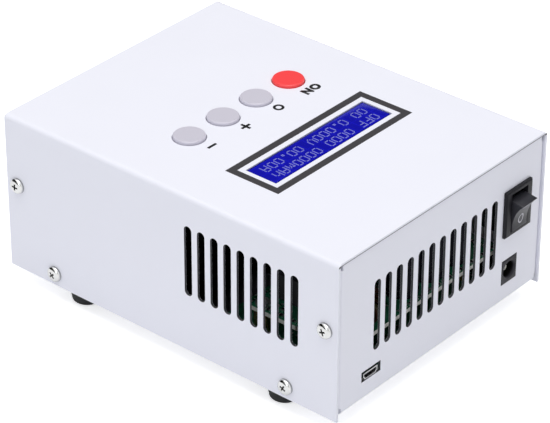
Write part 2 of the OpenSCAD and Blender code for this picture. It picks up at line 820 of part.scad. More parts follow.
module board_screws() {
    color([0.78, 0.78, 0.76]) for (p = control_holes) {
        translate([p[0], p[1], control_top]) board_screw(board_t + 0.4 * control_rise);
        translate([p[0], p[1], z_tray]) rotate([180, 0, 0]) board_screw(sheet + 0.4 * control_rise);
    }
}

// A flat chip with legs on all four sides, standing on the origin's plane
module quad_chip(w, legs, pitch) {
    translate([-w / 2, -w / 2, 0.1]) cube([w, w, 1.4]);
    for (a = [0:90:270], k = [0:legs - 1])
        rotate(a) translate([w / 2 - 0.1, (k - (legs - 1) / 2) * pitch - 0.15, 0]) cube([1.1, 0.3, 0.5]);
}

// Connector on the control board that takes the display's ribbon
header_l = 20;
header_w = 5;
header_h = 8.5;
header_side_gap = 8;
header_x = min(display_x, sink_x) - header_side_gap;
header_in = 10.5;
header_y = control_front + header_in;

// Chips and connectors of the control board
module control_chips() {
    big_chip_w = 10;
    small_chip_w = 6;
    fan_plug_l = 12;
    fan_plug_w = 6;
    fan_plug_h = 6;
    color([0.1, 0.1, 0.11]) {
        translate([0.08 * control_w, control_front + 0.42 * control_l, control_top])
            quad_chip(big_chip_w, 10, 0.8);
        for (x = [-0.17, -0.06])
            translate([x * control_w, control_front + 0.71 * control_l, control_top])
                quad_chip(small_chip_w, 4, 1.27);
        translate([0.25 * control_w, header_y + fan_plug_w / 2, control_top])
            centred_block(fan_plug_l, fan_plug_w, fan_plug_h);
        translate([header_x, header_y, control_top]) centred_block(header_l, header_w, header_h);
    }
}

jack_bevel = 0.6;
jack_step = 2;
jack_heel_l = 3.4;
jack_pin_in = 2;

module power_inlet() {
    back = jack_front - jack_l;
    color([0.13, 0.13, 0.15]) difference() {
        block([jack_x - jack_w / 2, back, control_top],
            [jack_x + jack_w / 2, jack_front, control_top + jack_h]);
        translate([jack_x, jack_front - jack_depth / 2 + past / 2, jack_z])
            bore_y(jack_hole_d / 2, jack_depth + past);
        // Countersink at the mouth
        translate([jack_x, jack_front - jack_bevel, jack_z]) rotate([-90, 0, 0])
            cylinder(r1 = jack_hole_d / 2, r2 = jack_hole_d / 2 + jack_bevel + 0.05, h = jack_bevel + 0.05);
        // The rear end is lower than the front
        block([jack_x - jack_w, back - past, control_top + jack_h - jack_step],
            [jack_x + jack_w, back + jack_heel_l, control_top + jack_h + past]);
        // Bore for the centre pin's root
        translate([jack_x, back + jack_pin_in, jack_z]) bore_y(jack_pin_d / 2, jack_l);
    }
}

module power_inlet_contacts() {
    back = jack_front - jack_l;
    color([0.85, 0.83, 0.76]) {
        translate([jack_x, back + jack_pin_in, jack_z]) rotate([-90, 0, 0])
            cylinder(d = jack_pin_d, h = jack_l - 2 * jack_pin_in);
        // Side spring that grips the plug
        block([jack_x + jack_hole_d / 2 - 0.5, jack_front - 0.74 * jack_depth, jack_z - 1],
            [jack_x + jack_hole_d / 2 - 0.2, jack_front - 0.23 * jack_depth, jack_z + 1]);
    }
}

usb_step = 0.75;
usb_wall = 0.4;
usb_back_wall = 1.2;
tongue_back = 0.9;

// Outline of the data socket's shell: a wide upper part on a narrower lower part
module usb_outline(grow) {
    w = usb_w / 2 + grow;
    n = w - usb_step;
    top = usb_h / 2 + grow;
    polygon([[-w, top], [w, top], [w, -0.1], [n, -0.6 * top],
        [n, -top], [-n, -top], [-n, -0.6 * top], [-w, -0.1]]);
}

module data_socket_shell() {
    color([0.78, 0.78, 0.8]) translate([usb_x, usb_front, usb_z]) rotate([90, 0, 0]) difference() {
        linear_extrude(usb_l) usb_outline(0);
        translate([0, 0, -past]) linear_extrude(usb_l - usb_back_wall + past) usb_outline(-usb_wall);
    }
}

module data_socket_tongue() {
    w = 0.62 * usb_w;
    color([0.07, 0.07, 0.08]) translate([usb_x, usb_front, usb_z]) rotate([90, 0, 0])
        translate([-w / 2, -0.1, tongue_back]) cube([w, 0.23 * usb_h, usb_l - usb_back_wall - tongue_back]);
}

module power_board() {
    color([0.05, 0.3, 0.16]) translate([0, 0, power_under]) linear_extrude(board_t) difference() {
        translate([power_x - power_w / 2, power_front]) square([power_w, power_l]);
        for (p = power_holes) translate(p) circle(r = clear_r);
    }
}

module power_spacers() {
    color([0.8, 0.68, 0.35]) for (p = power_holes) translate([p[0], p[1], control_top]) difference() {
        hex(spacer_d, power_rise);
        translate([0, 0, -past]) cylinder(r = tap_r, h = power_rise + 2 * past);
    }
}

module power_screws() {
    color([0.78, 0.78, 0.76]) for (p = power_holes) {
        translate([p[0], p[1], power_top]) board_screw(board_t + screw_d);
        translate([p[0], p[1], control_under]) rotate([180, 0, 0]) board_screw(board_t + screw_d);
    }
}

// Round can with a crimped groove near its foot
module can(d, h) {
    rotate_extrude() difference() {
        union() {
            square([d / 2 - 0.6, h]);
            square([d / 2, h - 0.6]);
            translate([d / 2 - 0.6, h - 0.6]) circle(r = 0.6);
        }
        translate([d / 2 + 0.3, 2.6]) circle(r = 0.9);
        translate([-d, -d]) square([d, 3 * d]);
    }
}

// Components of the power board: their sizes, and their places as shares of the board's width
can_d = 12.5;
can_h = 22;
can_in_y = 9;
can_x = [for (share = [-0.295, -0.134, 0.026]) power_x + share * power_w];
film_w = 13;
film_l = 14;
film_h = 10;
film_in = 10;
film_x = power_x + 0.317 * power_w;
film_y = power_front + film_in;
coil_r = 8;
coil_tube_r = 3.2;
coil_wire_r = 0.6;
coil_in = 13;
coil_x = power_x + 0.3 * power_w;
coil_y = power_rear - coil_in;
shunt_l = 18;
shunt_w = 4;
shunt_h = 6.5;
shunt_t = 1.5;
shunt_in = 8.5;
shunt_x = power_x - 0.26 * power_w;
shunt_y = power_front + shunt_in;
terminal_w = 9;
terminal_l = 12;
terminal_h = 10;
terminal_in_x = 6.5;
terminal_in_y = 21;
terminal_x = power_left + terminal_in_x;
terminal_y = power_rear - terminal_in_y;
terminal_pole = [terminal_y - terminal_l / 4, terminal_y + terminal_l / 4];
relay_w = 19;
relay_l = 15;
relay_h = 15;
relay_in = 13.5;
relay_x = power_x + 0.01 * power_w;
relay_y = power_front + relay_in;

module capacitors() {
    color([0.15, 0.16, 0.3]) for (x = can_x)
        translate([x, power_rear - can_in_y, power_top]) can(can_d, can_h);
}

module film_capacitor() {
    color([0.6, 0.6, 0.64]) translate([film_x, film_y, power_top]) centred_block(film_w, film_l, film_h);
}

module inductor_core() {
    color([0.75, 0.68, 0.2]) translate([coil_x, coil_y, power_top + coil_tube_r + 2 * coil_wire_r])
        rotate_extrude() translate([coil_r, 0]) circle(r = coil_tube_r);
}

module inductor_winding() {
    gap = 0.05;
    ring = coil_tube_r + coil_wire_r + gap;
    color([0.72, 0.42, 0.2]) translate([coil_x, coil_y, power_top + coil_tube_r + 2 * coil_wire_r + gap])
        for (k = [0:19]) rotate(k * 18) translate([coil_r, 0, 0]) rotate([90, 0, 0])
            rotate_extrude() translate([ring, 0]) circle(r = coil_wire_r, $fn = 16);
}

// Metal strip bent into a bridge
module current_shunt() {
    color([0.72, 0.6, 0.45]) translate([shunt_x, shunt_y, power_top]) rotate([90, 0, 0])
        linear_extrude(shunt_w, center = true) difference() {
            translate([-shunt_l / 2, 0]) square([shunt_l, shunt_h]);
            translate([shunt_t - shunt_l / 2, -past])
                square([shunt_l - 2 * shunt_t, shunt_h - shunt_t + past]);
        }
}

module terminal_block() {
    wire_way = 0.3 * terminal_l;
    color([0.1, 0.45, 0.25]) translate([0, 0, power_top]) difference() {
        translate([terminal_x, terminal_y, 0]) centred_block(terminal_w, terminal_l, terminal_h);
        for (y = terminal_pole) {
            translate([terminal_x, y, terminal_h / 2]) cylinder(d = terminal_l / 3, h = terminal_h);
            translate([terminal_x - terminal_w / 2, y, wire_way])
                cube([terminal_w - 1, wire_way, wire_way], center = true);
        }
    }
}

module power_relay() {
    color([0.1, 0.1, 0.12]) translate([relay_x, relay_y, power_top]) centred_block(relay_w, relay_l, relay_h);
}

module heatsink() {
    color([0.2, 0.2, 0.22]) difference() {
        translate([sink_x, sink_front, z_floor]) {
            cube([sink_base, sink_l, sink_h]);
            for (k = [0:fins - 1])
                translate([sink_base, 0, first_fin + k * fin_step]) cube([sink_w - sink_base, sink_l, fin_t]);
        }
        for (y = sink_screw_y)
            translate([sink_x + sink_base / 2, y, z_floor - past])
                cylinder(r = tap_r, h = sink_screw_in + past);
        for (y = to220_y)
            translate([sink_x, y, to220_z]) bore_x(tap_r, 2 * sink_base - 2);
    }
}

module heatsink_screws() {
    color([0.78, 0.78, 0.76]) for (y = sink_screw_y)
        translate([sink_x + sink_base / 2, y, z_tray]) rotate([180, 0, 0])
            board_screw(sheet + sink_screw_in - 2);
}

module power_transistors() {
    leg_w = 1.2;
    color([0.1, 0.1, 0.11]) for (y = to220_y)
        translate([sink_x - to220_t, y, to220_z]) difference() {
            translate([0, -to220_w / 2, -0.7 * to220_l]) {
                cube([to220_t, to220_w, to220_l]);
                for (k = [-1, 0, 1])
                    translate([2, to220_w / 2 + k * to220_leg_pitch - leg_w / 2, -to220_leg_l])
                        cube([leg_w / 2, leg_w, to220_leg_l]);
            }
            bore_x(clear_r + 0.1, 4 * to220_t);
        }
}

module transistor_screws() {
    color([0.78, 0.78, 0.76]) for (y = to220_y)
        translate([sink_x - to220_t, y, to220_z]) rotate([0, -90, 0]) board_screw(to220_t + sink_base - 1.8);
}

fan_hub_r = fan_hub_d / 2;
fan_tip_r = fan_duct_d / 2 - fan_tip_gap;
strut_t = 2;
strut_w = 3.2;
hub_gap = 0.5;
fan_front_gap = 1;
fan_hub_wall = 2;
fan_shaft_r = 1.5;
shaft_gap = 0.05;
fan_tube_z = fan_front_gap + fan_hub_wall + 0.3;
blade_arc_r = 16;
blade_t = 1.1;

module fan_frame() {
    color([0.08, 0.08, 0.09]) translate([fan_x, fan_front, fan_z]) rotate([-90, 0, 0]) {
        difference() {
            linear_extrude(fan_t) difference() {
                round_rect(fan_w, fan_w, 3);
                circle(d = fan_duct_d);
                for (x = [-1, 1], y = [-1, 1])
                    translate([x * fan_pitch / 2, y * fan_pitch / 2]) circle(r = clear_r + 0.1);
            }
            // The frame is thinner between its two corner flanges
            translate([0, 0, 3]) linear_extrude(fan_t - 6) difference() {
                square(fan_w + 2 * past, center = true);
                circle(d = fan_duct_d + 2.4);
                for (a = [0, 90]) rotate(a) square([fan_w + 4 * past, 2.4], center = true);
            }
        }
        // Motor plate on four struts at the back of the frame
        translate([0, 0, fan_t - strut_t]) {
            cylinder(r = fan_hub_r, h = strut_t);
            for (a = [20:90:290]) rotate(a) translate([fan_hub_r - 1, -strut_w / 2, 0])
                cube([fan_duct_d / 2 - fan_hub_r + 1.5, strut_w, strut_t]);
        }
        // Bearing tube in the hub
        translate([0, 0, fan_tube_z]) difference() {
            cylinder(d = 6, h = fan_t - strut_t - fan_tube_z);
            translate([0, 0, -past])
                cylinder(r = fan_shaft_r + shaft_gap, h = fan_t - strut_t - fan_tube_z - 1 + past);
        }
    }
}

// One blade: a curved plate that stands across the air's way
module blade(h) {
    rotate([0, 90, 0]) linear_extrude(fan_tip_r + 2) intersection() {
        translate([-h / 2 - blade_arc_r * 0.72, blade_arc_r * 0.72]) difference() {
            circle(r = blade_arc_r);
            circle(r = blade_arc_r - blade_t);
        }
        translate([-h, -blade_arc_r]) square([h, 2 * blade_arc_r]);
    }
}

module fan_rotor() {
    h = fan_t - strut_t - hub_gap - fan_front_gap;
    color([0.1, 0.1, 0.11]) translate([fan_x, fan_front + fan_front_gap, fan_z]) rotate([-90, 0, 0]) {
        difference() {
            union() {
                rotate_extrude() {
                    square([fan_hub_r - 1.2, h]);
                    translate([0, 1.2]) square([fan_hub_r, h - 1.2]);
                    translate([fan_hub_r - 1.2, 1.2]) intersection() {
                        circle(r = 1.2);
                        translate([0, -1.2]) square(1.2);
                    }
                }
                intersection() {
                    for (k = [0:fan_blades - 1]) rotate(k * 360 / fan_blades) blade(h);
                    difference() {
                        cylinder(r = fan_tip_r, h = h);
                        translate([0, 0, -past]) cylinder(r = fan_hub_r - 0.5, h = h + 2 * past);
                    }
                }
            }
            translate([0, 0, fan_hub_wall]) cylinder(r = fan_hub_r - 1.5, h = h);
        }
        // Shaft in the bearing tube
        cylinder(r = fan_shaft_r, h = fan_t - strut_t - 1 - 2 * fan_front_gap);
    }
}

fan_head_d = 7;
fan_head_h = 2;
eye_r = 3.1;
guard_rings = 5;
guard_first_r = 4.5;
guard_last_r = fan_pitch / sqrt(2) - fan_head_d / 2 - wire_d / 2 - 0.7;
guard_step = (guard_last_r - guard_first_r) / (guard_rings - 1);
spoke_in = guard_first_r - 1.1;

module fan_guard() {
    color([0.75, 0.75, 0.77]) translate([fan_x, -panel_y, fan_z]) rotate([90, 0, 0]) {
        // Rings lie on the four wires that run out to the screws' eyes
        for (k = [0:guard_rings - 1])
            translate([0, 0, wire_d * 1.5 + 0.02])
                rotate_extrude() translate([guard_first_r + k * guard_step, 0]) circle(d = wire_d, $fn = 20);
        for (a = [45:90:315]) rotate(a) {
            translate([spoke_in, 0, wire_d / 2]) rotate([0, 90, 0])
                cylinder(d = wire_d, h = fan_pitch / sqrt(2) - spoke_in - eye_r, $fn = 20);
            translate([fan_pitch / sqrt(2), 0, wire_d / 2])
                rotate_extrude() translate([eye_r, 0]) circle(d = wire_d, $fn = 20);
        }
    }
}

module fan_screws() {
    stack = wire_d + sheet + fan_t;
    color([0.78, 0.78, 0.76]) for (x = [-1, 1], z = [-1, 1])
        translate([fan_x + x * fan_pitch / 2, -panel_y - wire_d, fan_z + z * fan_pitch / 2]) {
            rotate([90, 0, 0]) pan_screw(screw_d, stack + nut_t + 1, fan_head_d, fan_head_h);
            translate([0, stack, 0]) rotate([-90, 0, 0]) nut();
        }
}

bezel_corner_r = 0.4;
bezel_step = 0.4;

module switch_body() {
    color([0.09, 0.09, 0.1]) translate([switch_x, panel_y, switch_z]) rotate([-90, 0, 0]) difference() {
        union() {
            // Bezel with a step round its front
            linear_extrude(bezel_t - bezel_step) round_rect(bezel_w, bezel_h, bezel_corner_r);
            linear_extrude(bezel_t)
                round_rect(bezel_w - 2 * bezel_step, bezel_h - 2 * bezel_step, bezel_corner_r);
            // Body behind the panel
            translate([-body_w / 2, -body_h / 2, -switch_depth]) cube([body_w, body_h, switch_depth]);
            // Snap ridges that hold the body in the panel
            for (s = [0, 1]) mirror([0, s, 0])
                translate([-body_w / 4, body_h / 2, -sheet]) rotate([90, 0, 90])
                    linear_extrude(body_w / 2) polygon([[0, 0], [0.8, 0], [0, -4.5]]);
        }
        translate([-rocker_open_w / 2, -rocker_open_h / 2, -switch_depth + 3.5])
            cube([rocker_open_w, rocker_open_h, switch_depth + bezel_t]);
        // Seats of the rocker's pivot pins
        translate([0, 0, pivot_y - panel_y])
            bore_x(pivot_d / 2 + pivot_gap, rocker_open_w + 2 * (switch_wall - 0.2));
        // Slots of the two tabs
        for (y = [-4, 4]) translate([-2.5, y - 0.45, -switch_depth - past]) cube([5, 0.9, 3 + past]);
    }
}

rocker_w = rocker_open_w - 0.6;
rocker_base_h = rocker_open_h / 2 - 2.4;
rocker_tip_h = rocker_base_h + 0.9;
rocker_tip = 4.8;
rocker_hollow = 1.5;
rocker_hollow_r = (rocker_tip_h * rocker_tip_h + rocker_hollow * rocker_hollow) / 2 / rocker_hollow;

module switch_rocker() {
    color([0.11, 0.11, 0.12]) translate([switch_x, pivot_y, switch_z]) rotate([-rocker_tilt, 0, 0]) {
        rotate([90, 0, 90]) linear_extrude(rocker_w, center = true) difference() {
            polygon([[rocker_tip, rocker_tip_h], [0, rocker_base_h],
                [-1.6, rocker_base_h - 0.4], [-3.4, 1.6], [-3.4, -1.6], [-1.6, 0.4 - rocker_base_h],
                [0, -rocker_base_h], [rocker_tip, -rocker_tip_h]]);
            translate([rocker_tip - rocker_hollow + rocker_hollow_r, 0]) circle(r = rocker_hollow_r, $fn = 96);
        }
        bore_x(pivot_d / 2, rocker_open_w + 2 * (switch_wall - 0.4));
    }
}

module switch_tabs() {
    color([0.85, 0.83, 0.78]) for (z = [-4, 4])
        translate([switch_x, panel_y - switch_depth, switch_z + z]) difference() {
            translate([-2.4, -8, -0.4]) cube([4.8, 8 + 2.8, 0.8]);
            translate([0, -5, 0]) cylinder(r = 0.9, h = 4, center = true);
        }
}

// Core of the thread, that shows in the nut, in the panel and in the relief in front of the nut
batt_seat_d = batt_d - 0.8;
batt_relief = 0.4;
batt_lip = 0.5;
batt_shell_back = 11;
batt_recess = 4;
batt_flange_t = 1.6;
batt_pin_tail = 4;

module battery_socket() {
    seat_end = batt_nut_t + batt_relief;
    color([0.78, 0.78, 0.8]) translate([batt_x, -panel_y, batt_z]) rotate([90, 0, 0]) difference() {
        union() {
            translate([0, 0, -batt_shell_back]) cylinder(d = batt_d - 1.6, h = batt_shell_back);
            translate([0, 0, -sheet]) cylinder(d = batt_seat_d, h = sheet + seat_end);
            // Thread for the plug's ring, as a plain cylinder
            translate([0, 0, seat_end]) cylinder(d = batt_d, h = batt_proud - batt_lip - seat_end);
            cylinder(d = batt_d - 1, h = batt_proud);
            // Flange behind the panel
            translate([0, 0, -sheet - batt_flange_t]) cylinder(d = batt_d + 3, h = batt_flange_t);
        }
        translate([0, 0, -batt_shell_back - past])
            cylinder(d = batt_d - 4, h = batt_shell_back + batt_proud + 2 * past);
        // Key slot in the mouth
        translate([-1, batt_d / 2 - 2.6, batt_proud - 4]) cube([2, 1.4, 4 + past]);
    }
}

module battery_socket_nut() {
    color([0.8, 0.8, 0.82]) translate([batt_x, -panel_y, batt_z]) rotate([90, 0, 0]) difference() {
        intersection() {
            hex(batt_nut_af, batt_nut_t);
            cylinder(r1 = batt_nut_af / 2 + 1.6, r2 = batt_nut_af / 2 + 0.4, h = batt_nut_t);
        }
        translate([0, 0, -past]) cylinder(d = batt_seat_d + 0.1, h = batt_nut_t + 2 * past);
    }
}

batt_pin_r = 2.9;
batt_pins = [for (a = [45:90:315]) [batt_pin_r * cos(a), batt_pin_r * sin(a)]];

module battery_socket_insert() {
    color([0.16, 0.12, 0.1]) translate([batt_x, -panel_y, batt_z]) rotate([90, 0, 0]) difference() {
        translate([0, 0, -batt_shell_back]) cylinder(d = batt_d - 4.1, h = batt_shell_back - batt_recess);
        for (p = batt_pins)
            translate([p[0], p[1], -batt_shell_back - past]) cylinder(r = 1.05, h = 2 * batt_shell_back);
    }
}

module battery_socket_pins() {
    color([0.85, 0.75, 0.45]) translate([batt_x, -panel_y, batt_z]) rotate([90, 0, 0]) for (p = batt_pins)
        translate([p[0], p[1], -batt_shell_back - batt_pin_tail]) {
            cylinder(r = 1, h = batt_shell_back + batt_pin_tail - 0.7);
            translate([0, 0, batt_shell_back + batt_pin_tail - 0.7]) sphere(r = 1);
        }
}

// Smooth curve through hand-picked points, with n steps from point to point
function spline_point(a, b, c, d, t) = 0.5 * ((2 * b) + (c - a) * t + (2 * a - 5 * b + 4 * c - d) * t * t
    + (3 * b - a - 3 * c + d) * t * t * t);
function spline(p, n) = concat([for (i = [0:len(p) - 2], k = [0:n - 1])
    spline_point(p[max(i - 1, 0)], p[i], p[i + 1], p[min(i + 2, len(p) - 1)], k / n)], [p[len(p) - 1]]);
function unit(v) = v / norm(v);
function along(p, i) = unit(p[min(i + 1, len(p) - 1)] - p[max(i - 1, 0)]);
// Side direction of each ring, carried along the curve so that the tube doesn't twist
function carried(p, i, last) = i == len(p) ? []
    : let (s = unit(last - (last * along(p, i)) * along(p, i))) concat([s], carried(p, i + 1, s));

// Closed solid swept along points p, with an outline given as [side, up] pairs
module swept(p, outline, first_side) {
    sides = carried(p, 0, first_side);
    n = len(outline);
    m = len(p);
    points = [for (i = [0:m - 1]) let (s = sides[i], u = cross(along(p, i), s))
        for (q = outline) p[i] + q[0] * s + q[1] * u];
    faces = concat([[for (k = [n - 1:-1:0]) k]], [[for (k = [0:n - 1]) (m - 1) * n + k]],
        [for (i = [0:m - 2], k = [0:n - 1])
            let (a = i * n + k, b = i * n + (k + 1) % n) for (f = [[a, b, b + n], [a, b + n, a + n]]) f]);
    polyhedron(points, faces);
}

function ring(r, n) = [for (k = [0:n - 1]) [r * cos(k * 360 / n), r * sin(k * 360 / n)]];

lead_r = 1.3;
lead_pin_gap = 0.2;
lead_out = 8;
lead_end_x = terminal_x - terminal_w / 2 - 0.3;
lead_end_z = power_top + 0.3 * terminal_h;

// Place inside the case, as shares of its half width, its half length and its inner height
function inside(x, y, z) = [x * side_x, y * end_y, z_floor + z * (z_ceiling - z_floor)];

// Lead from the battery socket's pin at x, by the points of its way, to the terminal block at end_y
module battery_lead(x, way, end_y) {
    z = batt_z - batt_pin_r * sin(45);
    y = -panel_y + batt_shell_back + batt_pin_tail + lead_pin_gap;
    swept(spline(concat([[x, y, z], [x, y + lead_out, z]], way,
            [[lead_end_x - 4, end_y, lead_end_z], [lead_end_x, end_y, lead_end_z]]), 4),
        ring(lead_r, 8), [1, 0, 0]);
}

module battery_lead_red() {
    way = [inside(-0.38, -0.52, 0.26), inside(-0.34, -0.21, 0.15), inside(-0.38, 0.1, 0.2),
        inside(-0.48, 0.31, 0.43), inside(-0.63, 0.44, 0.46), inside(-0.72, 0.54, 0.41)];
    color([0.75, 0.1, 0.1]) battery_lead(batt_x + batt_pin_r * sin(45), way, terminal_pole[0]);
}

module battery_lead_black() {
    way = [inside(-0.51, -0.52, 0.23), inside(-0.48, -0.21, 0.1), inside(-0.51, 0.1, 0.18),
        inside(-0.63, 0.31, 0.38), inside(-0.75, 0.46, 0.46), inside(-0.8, 0.58, 0.41)];
    color([0.1, 0.1, 0.1]) battery_lead(batt_x - batt_pin_r * sin(45), way, terminal_pole[1]);
}

ribbon_w = 10;
ribbon_t = 0.8;
ribbon_drop = 4;
ribbon_sag = 7;

module display_ribbon() {
    x = header_x;
    y = display_y - 0.36 * lcd_board_h;
    top = lcd_board_under - ribbon_t / 2;
    low = control_top + header_h + 0.3;
    color([0.7, 0.7, 0.72])
        swept(spline([[x, y, top], [x, y, top - ribbon_drop], [x, y - ribbon_sag, low + 0.58 * (top - low)],
            [x, y - ribbon_sag, low + 0.28 * (top - low)], [x, header_y - header_h, low + 0.75 * ribbon_drop],
            [x, header_y, low + 1], [x, header_y, low]], 4),
            [[-ribbon_w / 2, -ribbon_t / 2], [ribbon_w / 2, -ribbon_t / 2], [ribbon_w / 2, ribbon_t / 2],
                [-ribbon_w / 2, ribbon_t / 2]], [1, 0, 0]);
}

base_tray();
top_cover();
cover_screws();
rubber_feet();
foot_screws();
lcd_frame();
lcd_glass();
lcd_backlight();
lcd_board();
lcd_driver_chips();
display_posts();
display_screws();
key_board();
push_switches();
cap_on();
cap_set();
cap_plus();
cap_minus();
plunger_on();
plunger_set();
plunger_plus();
plunger_minus();
control_board();
control_standoffs();
board_screws();
control_chips();
power_inlet();
power_inlet_contacts();
data_socket_shell();
data_socket_tongue();
power_board();
power_spacers();
power_screws();
capacitors();
film_capacitor();
inductor_core();
inductor_winding();
current_shunt();
terminal_block();
power_relay();
heatsink();
heatsink_screws();
power_transistors();
transistor_screws();
fan_frame();
fan_rotor();
fan_guard();
fan_screws();
switch_body();
switch_rocker();
switch_tabs();
battery_socket();
battery_socket_nut();
battery_socket_insert();
battery_socket_pins();
battery_lead_red();
battery_lead_black();
display_ribbon();
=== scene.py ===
"""Looks of the battery capacity tester, built round its CAD frame."""

from math import cos, pi, radians, sqrt

import bpy
from mathutils import Matrix, Vector


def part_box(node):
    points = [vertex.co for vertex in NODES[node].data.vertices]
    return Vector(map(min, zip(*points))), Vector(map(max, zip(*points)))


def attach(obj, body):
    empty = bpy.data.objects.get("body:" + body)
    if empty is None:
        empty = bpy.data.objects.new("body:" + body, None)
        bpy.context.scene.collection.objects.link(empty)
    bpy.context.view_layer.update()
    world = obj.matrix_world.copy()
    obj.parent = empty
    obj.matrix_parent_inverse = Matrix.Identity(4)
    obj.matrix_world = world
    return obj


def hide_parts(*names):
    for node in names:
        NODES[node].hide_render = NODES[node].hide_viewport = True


bl_info = {
    "name": "Battery capacity tester",
    "version": (1, 0, 0),
    "blender": (4, 5, 0),
    "location": "3D View > Sidebar > Tester",
    "description": "Dresses the tester's solids with its finishes, print, display and small parts",
    "category": "Object",
}

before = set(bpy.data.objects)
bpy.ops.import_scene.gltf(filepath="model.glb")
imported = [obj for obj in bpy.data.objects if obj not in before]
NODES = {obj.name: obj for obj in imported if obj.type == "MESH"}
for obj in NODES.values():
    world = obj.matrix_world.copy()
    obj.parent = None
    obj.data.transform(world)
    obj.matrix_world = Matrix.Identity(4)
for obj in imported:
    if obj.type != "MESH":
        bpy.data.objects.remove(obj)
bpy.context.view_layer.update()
MM = 0.001

COVER_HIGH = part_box("top_cover")[1]
GLASS_LOW, GLASS_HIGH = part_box("lcd_glass")
TRAY_LOW, TRAY_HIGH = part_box("base_tray")
GLASS_MIDDLE = (GLASS_LOW + GLASS_HIGH) / 2
TOP = COVER_HIGH.z
SIDE = COVER_HIGH.x
PANEL = TRAY_HIGH.y
SHEET = 1.0 * MM
# Half sizes of the display's window in the cover
WINDOW = {"X": 0.03225, "Y": 0.00695}


# Sizes and colours that a user may change

def length(name, text, default):
    """Length property in metres."""
    return bpy.props.FloatProperty(name=name, description=text, default=default, unit="LENGTH",
                                   precision=5, min=0.0)


def paint(name, text, default):
    """Colour property."""
    return bpy.props.FloatVectorProperty(name=name, description="Colour of the " + text, default=default,
                                         size=3, subtype="COLOR", min=0.0, max=1.0)


class TesterColours(bpy.types.PropertyGroup):
    coat: paint("Powder coat", "cover and the tray", (0.845, 0.845, 0.925))
    print_ink: paint("Print", "frame printed round the display", (0.046, 0.043, 0.048))
    label_ink: paint("Labels", "labels beside the buttons", (0.004, 0.004, 0.005))
    red_cap: paint("Red cap", "first button's cap", (0.98, 0.063, 0.068))
    grey_cap: paint("Grey caps", "other caps", (0.6, 0.575, 0.66))
    bezel_black: paint("Bezel", "switch's bezel and body", (0.011, 0.0105, 0.014))
    rocker_black: paint("Rocker", "rocker", (0.026, 0.0255, 0.032))
    glass_blue: paint("Display", "display's glass", (0.006, 0.006, 0.36))
    pixel: paint("Characters", "display's characters", (0.17, 0.18, 0.5))
    board: paint("Boards", "circuit boards", (0.012, 0.11, 0.06))
    mark: paint("Rocker marks", "marks on the rocker", (0.48, 0.47, 0.52))
    floor: paint("Floor", "floor", (0.93, 0.93, 0.94))


class TesterSizes(bpy.types.PropertyGroup):
    frame_left: length("Printed frame, left", "Distance of its left edge from the middle", 0.0376)
    frame_right: length("Printed frame, right", "Distance of its right edge from the middle", 0.0368)
    frame_front: length("Printed frame, front", "Place of its front edge", 0.00883)
    frame_rear: length("Printed frame, rear", "Place of its rear edge", 0.0329)
    frame_line: length("Printed line", "Width of the printed frame's line", 0.00295)
    ink: length("Ink", "Thickness of the print on the coat", 0.00004)
    label_height: length("Label height", "Height of the labels' capitals", 0.0034)
    pane_drop: length("Pane drop", "How far the display's pane stands below the cover's face", 0.00035)
    label_row: length("Label row", "Distance of the labels from the buttons, to the rear", 0.0102)
    label_shift: length("Label shift", "Distance of the labels from the buttons, to the left", 0.0006)
    column_pitch: length("Column pitch", "Distance between two columns of characters", 0.00355)
    row_pitch: length("Row pitch", "Distance between the two rows of characters", 0.0057)
    dot_height: length("Dot height", "Height of one dot of a character with its gap", 0.0006)
    dot_gap: length("Dot gap", "Gap between two dots of a character", 0.0001)
    rocker_bevel: length("Rocker edges", "Rounding of the rocker's edges", 0.00022)
    bezel_bevel: length("Bezel edges", "Rounding of the bezel's edges", 0.00012)
    thread_pitch: length("Thread pitch", "Pitch of the battery socket's thread", 0.001)


# Mesh helpers

def only(*pieces):
    """Leaves edit mode and selects just these pieces, the first one active."""
    if bpy.context.object and bpy.context.object.mode != "OBJECT":
        bpy.ops.object.mode_set(mode="OBJECT")
    bpy.ops.object.select_all(action="DESELECT")
    for piece in pieces:
        piece.select_set(True)
    if pieces:
        bpy.context.view_layer.objects.active = pieces[0]


def begin(add, name, **options):
    """Adds a primitive with all else deselected, and names it."""
    only()
    add(**options)
    piece = bpy.context.object
    piece.name = name
    piece.data.name = name
    return piece


def settle(piece, scale=None):
    """Puts the piece's place, turn and scale into its mesh."""
    if scale:
        piece.scale = scale
    only(piece)
    bpy.ops.object.transform_apply(location=True, rotation=True, scale=True)
    return piece


def block(name, low, high, unit=1.0):
    """Cube primitive between two corners, given in metres or in another unit."""
    low, high = (Vector([number * unit for number in corner]) for corner in (low, high))
    return settle(begin(bpy.ops.mesh.primitive_cube_add, name, size=1.0, location=(low + high) / 2),
                  high - low)


def rod(name, vertices, radius, depth, middle=0.0, **options):
    """Upright cylinder primitive with its middle at this height."""
    return settle(begin(bpy.ops.mesh.primitive_cylinder_add, name, vertices=vertices, radius=radius,
                        depth=depth, location=(0.0, 0.0, middle), **options))


def facing(axis, side=1):
    """Test for the faces that look along an axis, to its high or its low side."""
    return lambda middle, normal: normal[axis] * side > 0.9


def choose(piece, test=lambda middle, direction: True, kind="FACE"):
    """Selects the faces, edges or points of the piece whose middle and direction pass the test."""
    only(piece)
    bpy.ops.object.mode_set(mode="EDIT")
    bpy.ops.mesh.select_mode(type=kind)
    bpy.ops.mesh.select_all(action="DESELECT")
    bpy.ops.object.mode_set(mode="OBJECT")
    mesh = piece.data
    if kind == "FACE":
        for face in mesh.polygons:
            face.select = test(face.center, face.normal)
    elif kind == "EDGE":
        for edge in mesh.edges:
            a, b = (mesh.vertices[i].co for i in edge.vertices)
            edge.select = test((a + b) / 2, (b - a).normalized())
    else:
        for point in mesh.vertices:
            point.select = test(point.co, point.normal)
    bpy.ops.object.mode_set(mode="EDIT")


